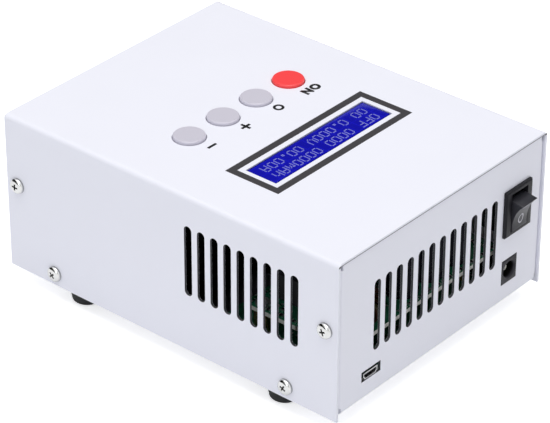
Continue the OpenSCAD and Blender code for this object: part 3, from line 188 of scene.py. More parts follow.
def push(*way):
    """Extrudes what is chosen."""
    bpy.ops.mesh.extrude_region_move(TRANSFORM_OT_translate={"value": way})


def shift(*way):
    """Moves what is chosen."""
    bpy.ops.transform.translate(value=way)


def stretch(*factors):
    """Scales what is chosen about its middle."""
    bpy.ops.transform.resize(value=factors)


def hollow(piece, width, **options):
    """Leaves a line of this width round a flat piece."""
    choose(piece)
    bpy.ops.mesh.inset(thickness=width, **options)
    bpy.ops.mesh.delete(type="FACE")
    return settle(piece)


def apply_modifier(piece, kind, name, **options):
    """Adds a modifier with its values and applies it."""
    only(piece)
    modifier = piece.modifiers.new(name, kind)
    for key, value in options.items():
        setattr(modifier, key, value)
    bpy.ops.object.modifier_apply(modifier=name)


def round_edges(piece, width, segments, angle):
    """Rounds the edges that are sharper than the angle."""
    apply_modifier(piece, "BEVEL", "Round edges", width=width, segments=segments,
                   limit_method="ANGLE", angle_limit=radians(angle))


def shade(piece, angle):
    """Shades the piece smooth below the angle."""
    only(piece)
    bpy.ops.object.shade_smooth_by_angle(angle=radians(angle))


def soften(piece, width, segments=2, angle=40.0):
    """Rounds the piece's sharp edges and shades it smooth by angle."""
    round_edges(piece, width, segments, angle)
    shade(piece, angle)


def cut_away(piece, cutter, name):
    """Takes the cutter out of the piece and removes the cutter."""
    apply_modifier(piece, "BOOLEAN", name, object=cutter, operation="DIFFERENCE", solver="EXACT")
    bpy.data.objects.remove(cutter)


def turned_by(degrees, axis):
    """Matrix of a turn about an axis."""
    return Matrix.Rotation(radians(degrees), 4, axis)


def moved_to(*place):
    """Matrix of a move."""
    return Matrix.Translation(place)


def merge(pieces, name):
    """Joins the pieces into one object."""
    only(*pieces)
    if len(pieces) > 1:
        bpy.ops.object.join()
    pieces[0].name = name
    pieces[0].data.name = name
    return pieces[0]


def spread(master, name, places):
    """Copies a piece to each place, each copy with its own mesh, and joins the copies."""
    copies = []
    for place in places:
        twin = master.copy()
        twin.data = master.data.copy()
        bpy.context.collection.objects.link(twin)
        twin.data.transform(place)
        copies.append(twin)
    bpy.data.objects.remove(master)
    return merge(copies, name)


def corners(x, y):
    """The four places at these distances to both sides."""
    return [(side * x, end * y) for side in (-1, 1) for end in (-1, 1)]


def finish_piece(piece, body, finish, replaced=()):
    """Gives a finished piece its material and its body, and hides the solids it replaces."""
    only(piece)
    piece.data.materials.clear()
    piece.data.materials.append(bpy.data.materials[finish])
    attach(piece, body)
    if replaced:
        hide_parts(*replaced)


# Shader nodes

def add_node(tree, kind, links=None, **settings):
    """Adds a node, sets its values and sockets, and links what feeds it."""
    node = tree.nodes.new(kind)
    for key, value in settings.items():
        setattr(node, key, value)
    for key, source in (links or {}).items():
        socket = node.inputs[key]
        if isinstance(source, bpy.types.NodeSocket):
            tree.links.new(source, socket)
        else:
            socket.default_value = source
    return node


def calc(tree, operation, *values):
    """Result of a math node on these numbers or sockets."""
    return add_node(tree, "ShaderNodeMath", dict(enumerate(values)), operation=operation).outputs[0]


def product(tree, value, *factors):
    """Product of numbers or sockets."""
    for factor in factors:
        value = calc(tree, "MULTIPLY", value, factor)
    return value


def vector(tree, operation, *values):
    """Result of a vector math node on these vectors or sockets."""
    node = add_node(tree, "ShaderNodeVectorMath", dict(enumerate(values)), operation=operation)
    return node.outputs["Value" if operation in ("DISTANCE", "DOT_PRODUCT") else "Vector"]


def ramp(tree, value, first, last, low=0.0, high=1.0):
    """Level that goes from first to last while the value goes from low to high."""
    sockets = {"Value": value, "From Min": low, "From Max": high, "To Min": first, "To Max": last}
    return add_node(tree, "ShaderNodeMapRange", sockets).outputs["Result"]


def blend(tree, share, first, second):
    """Colour between two, by the share of the second."""
    sockets = {"Fac": share, "Color1": first, "Color2": second}
    return add_node(tree, "ShaderNodeMixRGB", sockets).outputs[0]


def noise(tree, place, scale, detail=2.0, roughness=0.5):
    """Noise between 0 and 1."""
    sockets = {"Vector": place, "Scale": scale, "Detail": detail, "Roughness": roughness}
    return add_node(tree, "ShaderNodeTexNoise", sockets).outputs["Fac"]


def bumped(tree, height, strength, distance):
    """Normal of a surface with a bump of this height in metres."""
    sockets = {"Strength": strength, "Distance": distance, "Height": height}
    return add_node(tree, "ShaderNodeBump", sockets).outputs["Normal"]


def spot(tree, kind="Object"):
    """Place or direction of what is shaded."""
    return add_node(tree, "ShaderNodeTexCoord").outputs[kind]


def split(tree, source):
    """X, Y and Z of a vector."""
    return add_node(tree, "ShaderNodeSeparateXYZ", {0: source}).outputs


# Shader groups for effects that several materials share

def fine_grain(tree, given):
    """Fine grain of a coat or a moulding, with a slow drift of its shade."""
    place = spot(tree)
    slow = calc(tree, "SUBTRACT", noise(tree, place, 28.0, 3.0), 0.5)
    level = calc(tree, "MULTIPLY_ADD", slow, given["Drift"], 1.0)
    rough = calc(tree, "MULTIPLY_ADD", slow, given["Spread"], given["Roughness"])
    height = noise(tree, place, given["Size"], 2.0, 0.6)
    return vector(tree, "MULTIPLY", given["Colour"], level), rough, height


def drawn_metal(tree, given):
    """Fine scratches of turned or drawn metal, along one axis of the object."""
    lines = noise(tree, vector(tree, "MULTIPLY", spot(tree), given["Stretch"]), given["Size"], 3.0)
    rough = calc(tree, "MULTIPLY_ADD", calc(tree, "SUBTRACT", lines, 0.5), 0.25, given["Roughness"])
    return vector(tree, "MULTIPLY", given["Colour"], ramp(tree, lines, 0.88, 1.06)), rough, lines


def board_tracks(tree, given):
    """Tracks, solder mask and tinned pads of a circuit board, seen from above."""
    flat = vector(tree, "MULTIPLY", spot(tree), (1000.0, 1000.0, 0.0))
    tracks = add_node(tree, "ShaderNodeTexBrick",
                      {"Vector": flat, "Color1": (1, 1, 1, 1), "Color2": (0, 0, 0, 1),
                       "Mortar": (0.35, 0.35, 0.35, 1), "Scale": 0.32, "Mortar Size": 0.035,
                       "Brick Width": 1.7, "Row Height": 0.55}, offset=0.37).outputs
    lighter = blend(tree, tracks["Color"], given["Mask colour"], (0.02, 0.17, 0.085, 1.0))
    cell = vector(tree, "DIVIDE", flat, given["Pitch"])
    away = vector(tree, "DISTANCE", vector(tree, "FRACTION", cell), (0.5, 0.5, 0.0))
    whole = vector(tree, "FLOOR", cell)
    chance = add_node(tree, "ShaderNodeTexWhiteNoise", {"Vector": whole}).outputs["Value"]
    pads = product(tree, calc(tree, "LESS_THAN", away, 0.24), calc(tree, "GREATER_THAN", chance, 0.72))
    coloured = blend(tree, pads, lighter, (0.62, 0.62, 0.6, 1.0))
    return coloured, pads, calc(tree, "ADD", tracks["Fac"], pads)


# Maker, outputs and inputs of each effect
EFFECTS = {
    "Fine grain": (fine_grain, ("Colour", "Roughness", "Height"), {
        "Colour": (0.8, 0.8, 0.8, 1.0), "Drift": 0.03, "Size": 900.0, "Roughness": 0.5, "Spread": 0.06}),
    "Drawn metal": (drawn_metal, ("Colour", "Roughness", "Height"), {
        "Colour": (0.7, 0.7, 0.7, 1.0), "Stretch": (1.0, 1.0, 0.05), "Size": 2500.0, "Roughness": 0.3}),
    "Board tracks": (board_tracks, ("Colour", "Metal", "Height"), {
        "Mask colour": (0.01, 0.1, 0.05, 1.0), "Pitch": 2.54}),
}


def use_group(tree, name, **values):
    """Places an effect's group in a material with its own values, and makes the group at its first use."""
    group = bpy.data.node_groups.get(name)
    if not group:
        build, outputs, inputs = EFFECTS[name]
        group = bpy.data.node_groups.new(name, "ShaderNodeTree")
        for label, value in inputs.items():
            size = len(value) if isinstance(value, tuple) else 1
            kind = {1: "NodeSocketFloat", 3: "NodeSocketVector", 4: "NodeSocketColor"}[size]
            group.interface.new_socket(label, in_out="INPUT", socket_type=kind).default_value = value
        for label in outputs:
            kind = "NodeSocketColor" if label == "Colour" else "NodeSocketFloat"
            group.interface.new_socket(label, in_out="OUTPUT", socket_type=kind)
        inside = group.nodes.new("NodeGroupInput").outputs
        outside = group.nodes.new("NodeGroupOutput").inputs
        for label, source in zip(outputs, build(group, inside)):
            group.links.new(source, outside[label])
    node = tree.nodes.new("ShaderNodeGroup")
    node.node_tree = group
    for key, value in values.items():
        socket = node.inputs[key.replace("_", " ")]
        socket.default_value = (*value, 1.0) if key.endswith("olour") else value
    return node.outputs


# Materials

def shader(name, **sockets):
    """New material with a Principled shader, and its tree."""
    finish = bpy.data.materials.new(name)
    finish.use_nodes = True
    principled = finish.node_tree.nodes["Principled BSDF"]
    for key, value in sockets.items():
        principled.inputs[key.replace("_", " ")].default_value = value
    return finish, finish.node_tree, principled.inputs


def feed(tree, sockets, effect, strength, distance, level=None):
    """Links an effect to the shader, with a bump of its height in metres and a level for its colour."""
    colour = effect["Colour"]
    if level:
        colour = vector(tree, "MULTIPLY", colour, level(tree))
    tree.links.new(colour, sockets["Base Color"])
    tree.links.new(effect["Roughness"], sockets["Roughness"])
    tree.links.new(bumped(tree, effect["Height"], strength, distance), sockets["Normal"])


def grained(name, colour, roughness, size=900.0, drift=0.03, strength=0.25, distance=0.00002, level=None,
            **sockets):
    """Coat, plastic or rubber with a fine grain."""
    finish, tree, inputs = shader(name, **sockets)
    effect = use_group(tree, "Fine grain", Colour=tuple(colour), Roughness=roughness, Size=size, Drift=drift)
    feed(tree, inputs, effect, strength, distance, level)
    return finish


def drawn(name, colour, roughness, stretched=(1.0, 1.0, 0.05), level=None):
    """Bare metal with fine lines along one axis."""
    finish, tree, inputs = shader(name, Metallic=1.0)
    effect = use_group(tree, "Drawn metal", Colour=tuple(colour), Roughness=roughness, Stretch=stretched)
    feed(tree, inputs, effect, 0.15, 0.00001, level)
    return finish


def recess_shade_level(tree):
    """Painted shade: darker in a screw's cross recess and round its head."""
    mask = add_node(tree, "ShaderNodeAttribute", attribute_name="recess").outputs["Fac"]
    return ramp(tree, mask, 1.0, 0.18)


def hole_shade_level(tree):
    """Painted shade, darker down the power inlet's hole."""
    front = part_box("power_inlet")[1].y
    return ramp(tree, split(tree, spot(tree))["Y"], 0.02, 1.0, front - 1.4 * MM, front - 0.3 * MM)


def coat_shade_level(tree):
    """Painted shade: darker on the walls of the openings, under the cover's cut edges and on the tray's
    floor.
    """
    axes = split(tree, spot(tree))
    across, along = (calc(tree, "ABSOLUTE", axes[axis]) for axis in "XY")
    height = axes["Z"]
    # Painted shade on the lower half of the cover's cut edges
    edge = ramp(tree, along, 0.0, 1.0, COVER_HIGH.y - 0.15 * MM, COVER_HIGH.y - 0.02 * MM)
    lower = ramp(tree, height, 1.0, 0.0, TOP - 0.9 * MM, TOP - 0.5 * MM)
    shadow = product(tree, edge, lower, calc(tree, "GREATER_THAN", height, TOP - 1.4 * MM))
    # Painted shade on the walls of the openings: half of their depth, the outer face's margin, and how near
    # the bends they come
    wall, margin, bend = 0.44 * MM, 0.08 * MM, 12.0 * MM
    for depth, outer, other, reach in ((across, SIDE, along, 74.0 * MM), (along, PANEL, across, 54.0 * MM)):
        cut = product(tree, calc(tree, "COMPARE", depth, outer - wall - margin, wall),
                      calc(tree, "LESS_THAN", other, reach),
                      calc(tree, "COMPARE", height, TOP / 2, TOP / 2 - bend))
        shadow = calc(tree, "MAXIMUM", shadow, cut)
    # Painted shade on the tray's floor, inside its folded edges
    inside = product(tree, calc(tree, "COMPARE", height, TRAY_LOW.z + SHEET, 0.1 * MM),
                     calc(tree, "LESS_THAN", along, PANEL - 1.6 * MM),
                     calc(tree, "LESS_THAN", across, SIDE - 2.5 * MM))
    return ramp(tree, calc(tree, "MAXIMUM", shadow, inside), 1.0, 0.1)


def board_finish(name, colour):
    """Circuit board with tracks under its solder mask, and its pale cut edge."""
    finish, tree, inputs = shader(name, Roughness=0.32)
    effect = use_group(tree, "Board tracks", Mask_colour=tuple(colour))
    upright = calc(tree, "ABSOLUTE", split(tree, spot(tree, "Normal"))["Z"])
    edge = calc(tree, "LESS_THAN", upright, 0.5)
    tree.links.new(blend(tree, edge, effect["Colour"], (0.8, 0.8, 0.74, 1.0)), inputs["Base Color"])
    tree.links.new(effect["Metal"], inputs["Metallic"])
    tree.links.new(bumped(tree, effect["Height"], 0.4, 0.00003), inputs["Normal"])
    return finish


def light_up(tree, inputs, colour, level):
    """Gives the shader a colour and a glow of a varying level."""
    shown = vector(tree, "MULTIPLY", tuple(colour), level)
    for key in ("Base Color", "Emission Color"):
        tree.links.new(shown, inputs[key])


def display_finish(name, colour):
    """Blue display glass, with the faint cells of its two rows of characters, and a darker border of painted
    shade along the window's edges.
    """
    sizes = bpy.context.scene.tester_sizes
    finish, tree, inputs = shader(name, Roughness=0.16, Specular_IOR_Level=0.2, Emission_Strength=0.35)
    place = spot(tree)
    pitch = (sizes.column_pitch, sizes.row_pitch)
    cells = add_node(tree, "ShaderNodeMapping",
                     {"Vector": place,
                      "Location": (-GLASS_MIDDLE.x / pitch[0], -GLASS_MIDDLE.y / pitch[1], 0.0),
                      "Scale": (1 / pitch[0], 1 / pitch[1], 0.0)})
    axes = split(tree, vector(tree, "FRACTION", cells.outputs[0]))
    cell = product(tree, calc(tree, "LESS_THAN", axes["X"], 0.84), calc(tree, "LESS_THAN", axes["Y"], 0.93))
    drift = ramp(tree, noise(tree, place, 22.0, 1.0), 0.8, 1.25)
    level = product(tree, ramp(tree, cell, 1.0, 0.78), drift)
    # Painted shade along the window's edges, darkest within 0.2 mm of them
    reach = split(tree, vector(tree, "ABSOLUTE", vector(tree, "SUBTRACT", place, tuple(GLASS_MIDDLE))))
    for axis, half in WINDOW.items():
        level = product(tree, level, ramp(tree, reach[axis], 1.0, 0.25, half - 0.9 * MM, half - 0.2 * MM))
    light_up(tree, inputs, colour, level)
    return finish


def solid_finishes(colours):
    """Material of each solid, under the names of the solids that share it."""
    moulding = {"size": 1300.0}
    cap = {"size": 1600.0, "strength": 0.12}
    return {
        "top_cover base_tray": grained(
            "Powder coat", colours.coat, 0.48, size=1500.0, drift=0.02, strength=0.3, distance=0.00003,
            level=coat_shade_level, Specular_IOR_Level=0.35),
        "foot_screws display_screws board_screws power_screws heatsink_screws transistor_screws fan_screws":
            drawn("Zinc screws", (0.66, 0.66, 0.64), 0.34, (1.0, 1.0, 0.2)),
        "cover_screws battery_socket battery_socket_nut": drawn("Nickel", (0.72, 0.7, 0.66), 0.24),
        "power_inlet_contacts switch_tabs": drawn("Tinned metal", (0.75, 0.74, 0.7), 0.3),
        "data_socket_shell": drawn("Socket steel", (0.66, 0.66, 0.67), 0.27, (0.05, 1.0, 1.0)),
        "control_standoffs power_spacers": drawn("Brass", (0.72, 0.5, 0.2), 0.28),
        "battery_socket_pins": drawn("Gold plate", (0.83, 0.6, 0.24), 0.22),
        "lcd_board key_board control_board power_board": board_finish("Circuit board", colours.board),
        "lcd_driver_chips push_switches plunger_on plunger_set plunger_plus plunger_minus control_chips "
        "data_socket_tongue power_transistors":
            grained("Chip resin", (0.014, 0.014, 0.016), 0.45, size=2200.0),
        "switch_body": grained("Switch moulding", colours.bezel_black, 0.4, strength=0.2, **moulding,
                               Specular_IOR_Level=0.22),
        "switch_rocker": grained("Rocker moulding", colours.rocker_black, 0.34, strength=0.15, **moulding,
                                 Specular_IOR_Level=0.33),
        "power_inlet": grained("Inlet moulding", (0.02, 0.019, 0.026), 0.42, level=hole_shade_level, **moulding,
                               Specular_IOR_Level=0.2),
        "cap_on": grained("Red cap", colours.red_cap, 0.36, **cap),
        "cap_set cap_plus cap_minus": grained("Grey cap", colours.grey_cap, 0.4, **cap),
        "rubber_feet": grained("Foot rubber", (0.014, 0.014, 0.015), 0.68, size=1800.0, strength=0.5),
        "lcd_frame": drawn("Display frame", (0.09, 0.09, 0.1), 0.4),
        "lcd_glass": display_finish("Display glass", colours.glass_blue),
        "lcd_backlight": grained("Light guide", (0.75, 0.76, 0.7), 0.35),
        "display_posts": drawn("Posts", (0.6, 0.6, 0.6), 0.35),
        "capacitors": grained("Capacitor sleeve", (0.006, 0.006, 0.012), 0.5, size=400.0, strength=0.1,
                              Specular_IOR_Level=0.1),
        # Film capacitor coloured darker than its own colour, as painted shade inside the case
        "film_capacitor": grained("Film capacitor", (0.03, 0.03, 0.034), 0.55, Specular_IOR_Level=0.1),
        "inductor_core": grained("Core paint", (0.04, 0.035, 0.006), 0.5),
        # Copper wire coloured far darker than copper, as painted shade inside the case
        "inductor_winding": drawn("Copper wire", (0.028, 0.012, 0.008), 0.45),
        "current_shunt": drawn("Shunt alloy", (0.55, 0.4, 0.24), 0.35, (0.05, 1.0, 1.0)),
        "terminal_block": grained("Terminal moulding", (0.015, 0.2, 0.06), 0.42),
        "power_relay": grained("Relay case", (0.01, 0.01, 0.012), 0.5, Specular_IOR_Level=0.15),
        "heatsink": drawn("Black anodised", (0.014, 0.014, 0.016), 0.42, (1.0, 0.05, 1.0)),
        "fan_frame": grained("Fan moulding", (0.018, 0.018, 0.02), 0.46, size=1200.0),
        "fan_rotor": grained("Fan blades", (0.02, 0.02, 0.022), 0.4, size=1200.0),
        "fan_guard": drawn("Guard chrome", (0.78, 0.78, 0.79), 0.16),
        "battery_socket_insert": grained("Socket insert", (0.03, 0.022, 0.018), 0.45),
        "battery_lead_red": grained("Red lead", (0.55, 0.02, 0.02), 0.42),
        "battery_lead_black": grained("Black lead", (0.015, 0.015, 0.016), 0.42),
        "display_ribbon": grained("Ribbon", (0.4, 0.4, 0.42), 0.5),
    }


class TESTER_OT_finishes(bpy.types.Operator):
    """Gives every solid of the tester its material"""
    bl_idname = "tester.finishes"
    bl_label = "Finishes"

    def execute(self, context):
        # Screw metals whose colour is darkened by painted shade in the cross recess and round the head
        drawn("Screw nickel", (0.76, 0.76, 0.75), 0.12, level=recess_shade_level)
        drawn("Screw zinc", (0.7, 0.7, 0.68), 0.3, level=recess_shade_level)
        table = solid_finishes(context.scene.tester_colours)
        finish_of = {name: finish for names, finish in table.items() for name in names.split()}
        for name, node in NODES.items():
            node.data.materials.clear()
            node.data.materials.append(finish_of[name])
        return {"FINISHED"}


def print_on(piece, ink, thickness):
    """Gives a flat print its thickness and its ink."""
    choose(piece)
    bpy.ops.mesh.remove_doubles(threshold=1e-6)
    push(0.0, 0.0, thickness)
    bpy.ops.mesh.select_all(action="SELECT")
    bpy.ops.mesh.normals_make_consistent(inside=False)
    finish_piece(piece, "case", ink)


def draw_word(name, height):
    """The word ON in bold capitals."""
    label = begin(bpy.ops.object.text_add, name)
    text = label.data
    text.body = "ON"
    text.align_x = text.align_y = "CENTER"
    text.size = height / 0.69
    text.space_character = 1.2
    text.offset = 0.00036
    text.resolution_u = 4
    bpy.ops.object.convert(target="MESH")
    return settle(label)


def draw_ring(name, height):
    """A bold ring."""
    ring = begin(bpy.ops.mesh.primitive_circle_add, name, vertices=40, radius=0.62 * height,
                 fill_type="NGON")
    return hollow(ring, 0.3 * height)


def draw_bar(name, height):
    """A bold bar."""
    bar = begin(bpy.ops.mesh.primitive_plane_add, name, size=0.32 * height)
    for side in (-1, 1):
        choose(bar, lambda middle, along: middle.x * side > 0.1 * height and abs(along.y) > 0.9, "EDGE")
        push(side * 0.48 * height, 0.0, 0.0)
    return settle(bar)


def draw_plus(name, height):
    """A bold plus sign."""
    plus = draw_bar(name, height)
    for side in (-1, 1):
        choose(plus, lambda middle, along: middle.y * side > 0.1 * height and abs(middle.x) < 1e-6, "EDGE")
        push(0.0, side * 0.48 * height, 0.0)
    return settle(plus)


class TESTER_OT_display_print(bpy.types.Operator):
    """Prints the dark frame round the display and the labels beside the buttons"""
    bl_idname = "tester.display_print"
    bl_label = "Printed frame and labels"

    def execute(self, context):
        sizes = context.scene.tester_sizes
        colours = context.scene.tester_colours
        grained("Printed ink", colours.print_ink, 0.5, size=1500.0, drift=0.05)
        grained("Label ink", colours.label_ink, 0.5, size=1500.0, drift=0.05)
        piece = begin(bpy.ops.mesh.primitive_plane_add, "printed_frame", size=1.0,
                      location=((sizes.frame_right - sizes.frame_left) / 2,
                                (sizes.frame_front + sizes.frame_rear) / 2, TOP))
        settle(piece, (sizes.frame_left + sizes.frame_right, sizes.frame_rear - sizes.frame_front, 1.0))
        hollow(piece, sizes.frame_line, use_even_offset=True)
        print_on(piece, "Printed ink", sizes.ink)
        labels = {"cap_on": draw_word, "cap_set": draw_ring, "cap_plus": draw_plus, "cap_minus": draw_bar}
        for node, draw in labels.items():
            low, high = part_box(node)
            middle = (low + high) / 2
            label = draw(f"label_{node[4:]}", sizes.label_height)
            label.data.transform(moved_to(middle.x - sizes.label_shift, middle.y + sizes.label_row, TOP))
            print_on(label, "Label ink", sizes.ink)
        return {"FINISHED"}


def pane_top():
    """Height of the display pane's face."""
    return TOP - bpy.context.scene.tester_sizes.pane_drop


class TESTER_OT_display_pane(bpy.types.Operator):
    """Models the display's glass, with its pane raised into the window"""
    bl_idname = "tester.display_pane"
    bl_label = "Display pane"

    def execute(self, context):
        half = (GLASS_HIGH - GLASS_LOW) / 2
        edge, gap = 2.0 * MM, 0.1 * MM
        pane = block("display_pane", GLASS_LOW, GLASS_HIGH)
        choose(pane, facing(2))
        bpy.ops.mesh.inset(thickness=edge)
        stretch((WINDOW["X"] - gap) / (half.x - edge), (WINDOW["Y"] - gap) / (half.y - edge), 1.0)
        push(0.0, 0.0, pane_top() - GLASS_HIGH.z)
        soften(pane, 0.08 * MM)
        finish_piece(pane, "case", "Display glass", ("lcd_glass",))
        return {"FINISHED"}


# Dots of each character: seven rows from the top down, in five columns
DOTS = {
    "0": "01110 10001 10001 10001 10001 10001 01110",
    "O": "01110 10001 10001 10001 10001 10001 01110",
    "F": "11111 10000 10000 11110 10000 10000 10000",
    "V": "10001 10001 10001 10001 10001 01010 00100",
    "A": "01110 10001 10001 11111 10001 10001 10001",
    "m": "00000 00000 11010 10101 10101 10001 10001",
    "h": "10000 10000 10110 11001 10001 10001 10001",
    ".": "00000 00000 00000 00000 00000 01100 01100",
    " ": "00000 00000 00000 00000 00000 00000 00000",
}
ROWS = ("OFF 0000 0000mAh", "00 0.000V 00.00A")


class TESTER_OT_display_characters(bpy.types.Operator):
    """Lays the lit dots of the two rows of characters on the display's glass"""
    bl_idname = "tester.display_characters"
    bl_label = "Display characters"

    def execute(self, context):
        sizes = context.scene.tester_sizes
        columns = 6 * len(ROWS[0]) - 1
        height = 8 * sizes.dot_height
        dot_width = sizes.column_pitch / 6
        left = GLASS_MIDDLE.x - columns * dot_width / 2
        rows = []
        for index, text in enumerate(ROWS):
            top = GLASS_MIDDLE.y + sizes.row_pitch * (1 - index) - (sizes.row_pitch - height) / 2
            row = begin(bpy.ops.mesh.primitive_grid_add, f"character_row_{index + 1}", size=1.0,
                        x_subdivisions=columns, y_subdivisions=8,
                        location=(GLASS_MIDDLE.x, top - height / 2, pane_top() + 0.01 * MM))
            settle(row, (columns * dot_width, height, 1.0))

            def unlit(place, normal):
                column = int((place.x - left) / dot_width)
                line = int((top - place.y) / sizes.dot_height)
                return (column % 6 == 5 or line > 6
                        or DOTS[text[column // 6]].split()[line][column % 6] == "0")

            choose(row, unlit)
            bpy.ops.mesh.delete(type="FACE")
            bpy.ops.mesh.select_all(action="SELECT")
            bpy.ops.mesh.inset(thickness=sizes.dot_gap / 2, use_individual=True)
            bpy.ops.mesh.select_all(action="INVERT")
            bpy.ops.mesh.delete(type="FACE")
            rows.append(row)
        _, tree, inputs = shader("Lit dots", Roughness=0.4, Emission_Strength=0.3, Specular_IOR_Level=0.2)
        drift = ramp(tree, noise(tree, spot(tree), 60.0), 0.8, 1.15)
        light_up(tree, inputs, context.scene.tester_colours.pixel, drift)
        finish_piece(merge(rows, "display_characters"), "case", "Lit dots")
        return {"FINISHED"}


# A pan head in parts of its radius and height: rings above its rim, each inwards and upwards
PAN_RINGS = ((0.03, 0.19), (0.08, 0.18), (0.125, 0.146), (0.156, 0.092), (0.172, 0.054), (0.156, 0.016))
PAN_RIM = 0.322
# Length, width and height of an arm of its cross, how the arm narrows, and how far out it reaches
CROSS_ARM = (1.2, 0.3, 1.36)
CROSS_TIP = (0.4, 0.5, 1.0)
CROSS_REACH = 0.62
SHANK_RADIUS = 1.5 * MM


def pan_screw(head_radius, head_height, reach):
    """Pan head screw with a cross recess, with the underside of its head at the origin."""
    rim = PAN_RIM * head_height
    screw = rod("pan_screw", 56, head_radius, rim, rim / 2)
    choose(screw, facing(2))
    for inwards, upwards in PAN_RINGS:
        bpy.ops.mesh.inset(thickness=inwards * head_radius)
        shift(0.0, 0.0, upwards * head_height)
    arms = []
    long, wide, high = CROSS_ARM
    for turn in (0.0, pi / 2):
        arm = begin(bpy.ops.mesh.primitive_cube_add, "cross_arm", size=1.0, rotation=(0.0, 0.0, turn),
                    location=(0.0, 0.0, head_height))
        settle(arm, (long * head_radius, wide * head_radius, high * head_height))
        choose(arm, facing(2, -1))
        stretch(*CROSS_TIP)
        arms.append(arm)
    for arm in arms:
        cut_away(screw, arm, "Cross recess")
    # Mask of painted shade in the cross, up to just below the dome's face, and fainter painted shade at the
    # rim's foot
    mask = screw.data.attributes.new("recess", "FLOAT", "FACE")
    for face in screw.data.polygons:
        out = face.center.xy.length / head_radius
        up = face.center.z / head_height
        recess = out < CROSS_REACH and 0.05 < up < 0.94 - 0.5 * out * out
        mask.data[face.index].value = 1.0 if recess else 0.55 * (out > 0.9 and up < 0.2)
    round_edges(screw, 0.016 * head_radius, 2, 35)
    screw = merge([screw, rod("shank", 28, SHANK_RADIUS, reach, -reach / 2)], "pan_screw")
    shade(screw, 30)
    return screw


def hex_nut(low):
    """Six-sided nut with chamfered corners, standing on this height."""
    flats, height = 5.49 * MM, 2.4 * MM
    nut = rod("hex_nut", 6, flats / 2 / cos(pi / 6), height, low + height / 2)
    soften(nut, 0.05 * flats, 2, 50.0)
    return nut


def lay_out(master, name, finish, node, places):
    """Copies a screw to each place, each copy turned by another angle."""
    turned = [place @ turned_by(22 + 67 * index, "Z") for index, place in enumerate(places)]
    finish_piece(spread(master, name, turned), "case", finish, (node,))


class TESTER_OT_screws(bpy.types.Operator):
    """Models the pan head screws of the cover, the fan and the feet, with their cross recesses"""
    bl_idname = "tester.screws"
    bl_label = "Screws"

    def execute(self, context):
        low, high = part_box("cover_screws")
        radius = 3.05 * MM
        end = high.y - radius
        row = 17.1 * MM
        spots = ((end, high.z - radius), (-end, high.z - radius),
                 (end - row, low.z + radius), (row - end, low.z + radius))
        lay_out(pan_screw(radius, high.x - SIDE, 6.0 * MM), "cover_pan_screws",
                "Screw nickel", "cover_screws", [moved_to(side * SIDE, y, z) @ turned_by(90 * side, "Y")
                                                 for side in (-1, 1) for y, z in spots])

        low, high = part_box("fan_screws")
        radius = 3.5 * MM
        seat = low.y + 1.97 * MM
        screw = merge([pan_screw(radius, seat - low.y, high.y - seat), hex_nut(-20.0 * MM)], "fan_screw")
        lay_out(screw, "fan_pan_screws", "Screw zinc", "fan_screws",
                [moved_to(x, seat, z) @ turned_by(90, "X") for x in (low.x + radius, high.x - radius)
                 for z in (low.z + radius, high.z - radius)])

        low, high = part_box("foot_screws")
        radius = 2.775 * MM
        seat = 3.2 * MM
        screw = merge([pan_screw(radius, seat - low.z, high.z - seat), hex_nut(-8.5 * MM)], "foot_screw")
        lay_out(screw, "foot_pan_screws", "Screw zinc", "foot_screws",
                [moved_to(x, y, seat) @ turned_by(180, "X")
                 for x, y in corners(high.x - 3.17 * MM, high.y - radius)])
        return {"FINISHED"}


def switch_body(bevel):
    """Bezel and body, with the panel's face at y = 0."""
    half, step, lip, flange = 7.7, 0.4, 1.2, 0.3
    body = block("switch_bezel_body", (-half, 0.0, -9.4), (half, 1.1, 9.4), MM)
    choose(body, facing(1))
    bpy.ops.mesh.inset(thickness=step * MM)
    push(0.0, step * MM, 0.0)
    # Recess that the rocker moves in
    bpy.ops.mesh.inset(thickness=lip * MM)
    stretch(4.7 / (half - step - lip), 1.0, 1.0)
    push(0.0, -11.0 * MM, 0.0)
    # Body behind the panel
    choose(body, facing(1, -1))
    bpy.ops.mesh.inset(thickness=flange * MM)
    stretch(6.0 / (half - flange), 1.0, 1.0)
    push(0.0, -13.0 * MM, 0.0)
    for z in (-4.0, 4.0):
        cut_away(body, block("tab_slot", (-2.5, -14.0, z - 0.45), (2.5, -10.0, z + 0.45), MM), "Tab slot")
    soften(body, bevel)
    # Snap ridges that hold the body in the panel
    ridge = block("snap_ridge", (-3.0, -5.5, 8.9), (3.0, -1.0, 9.9), MM)
    choose(ridge, lambda middle, along: middle.z > 9.8 * MM and middle.y < -5.4 * MM, "EDGE")
    shift(0.0, 0.0, -0.8 * MM)
    only(ridge)
    ridges = spread(ridge, "snap_ridges", (turned_by(180, "Y"), Matrix()))
    body = merge([body, ridges], "switch_bezel_body")
    shade(body, 40)
    return body


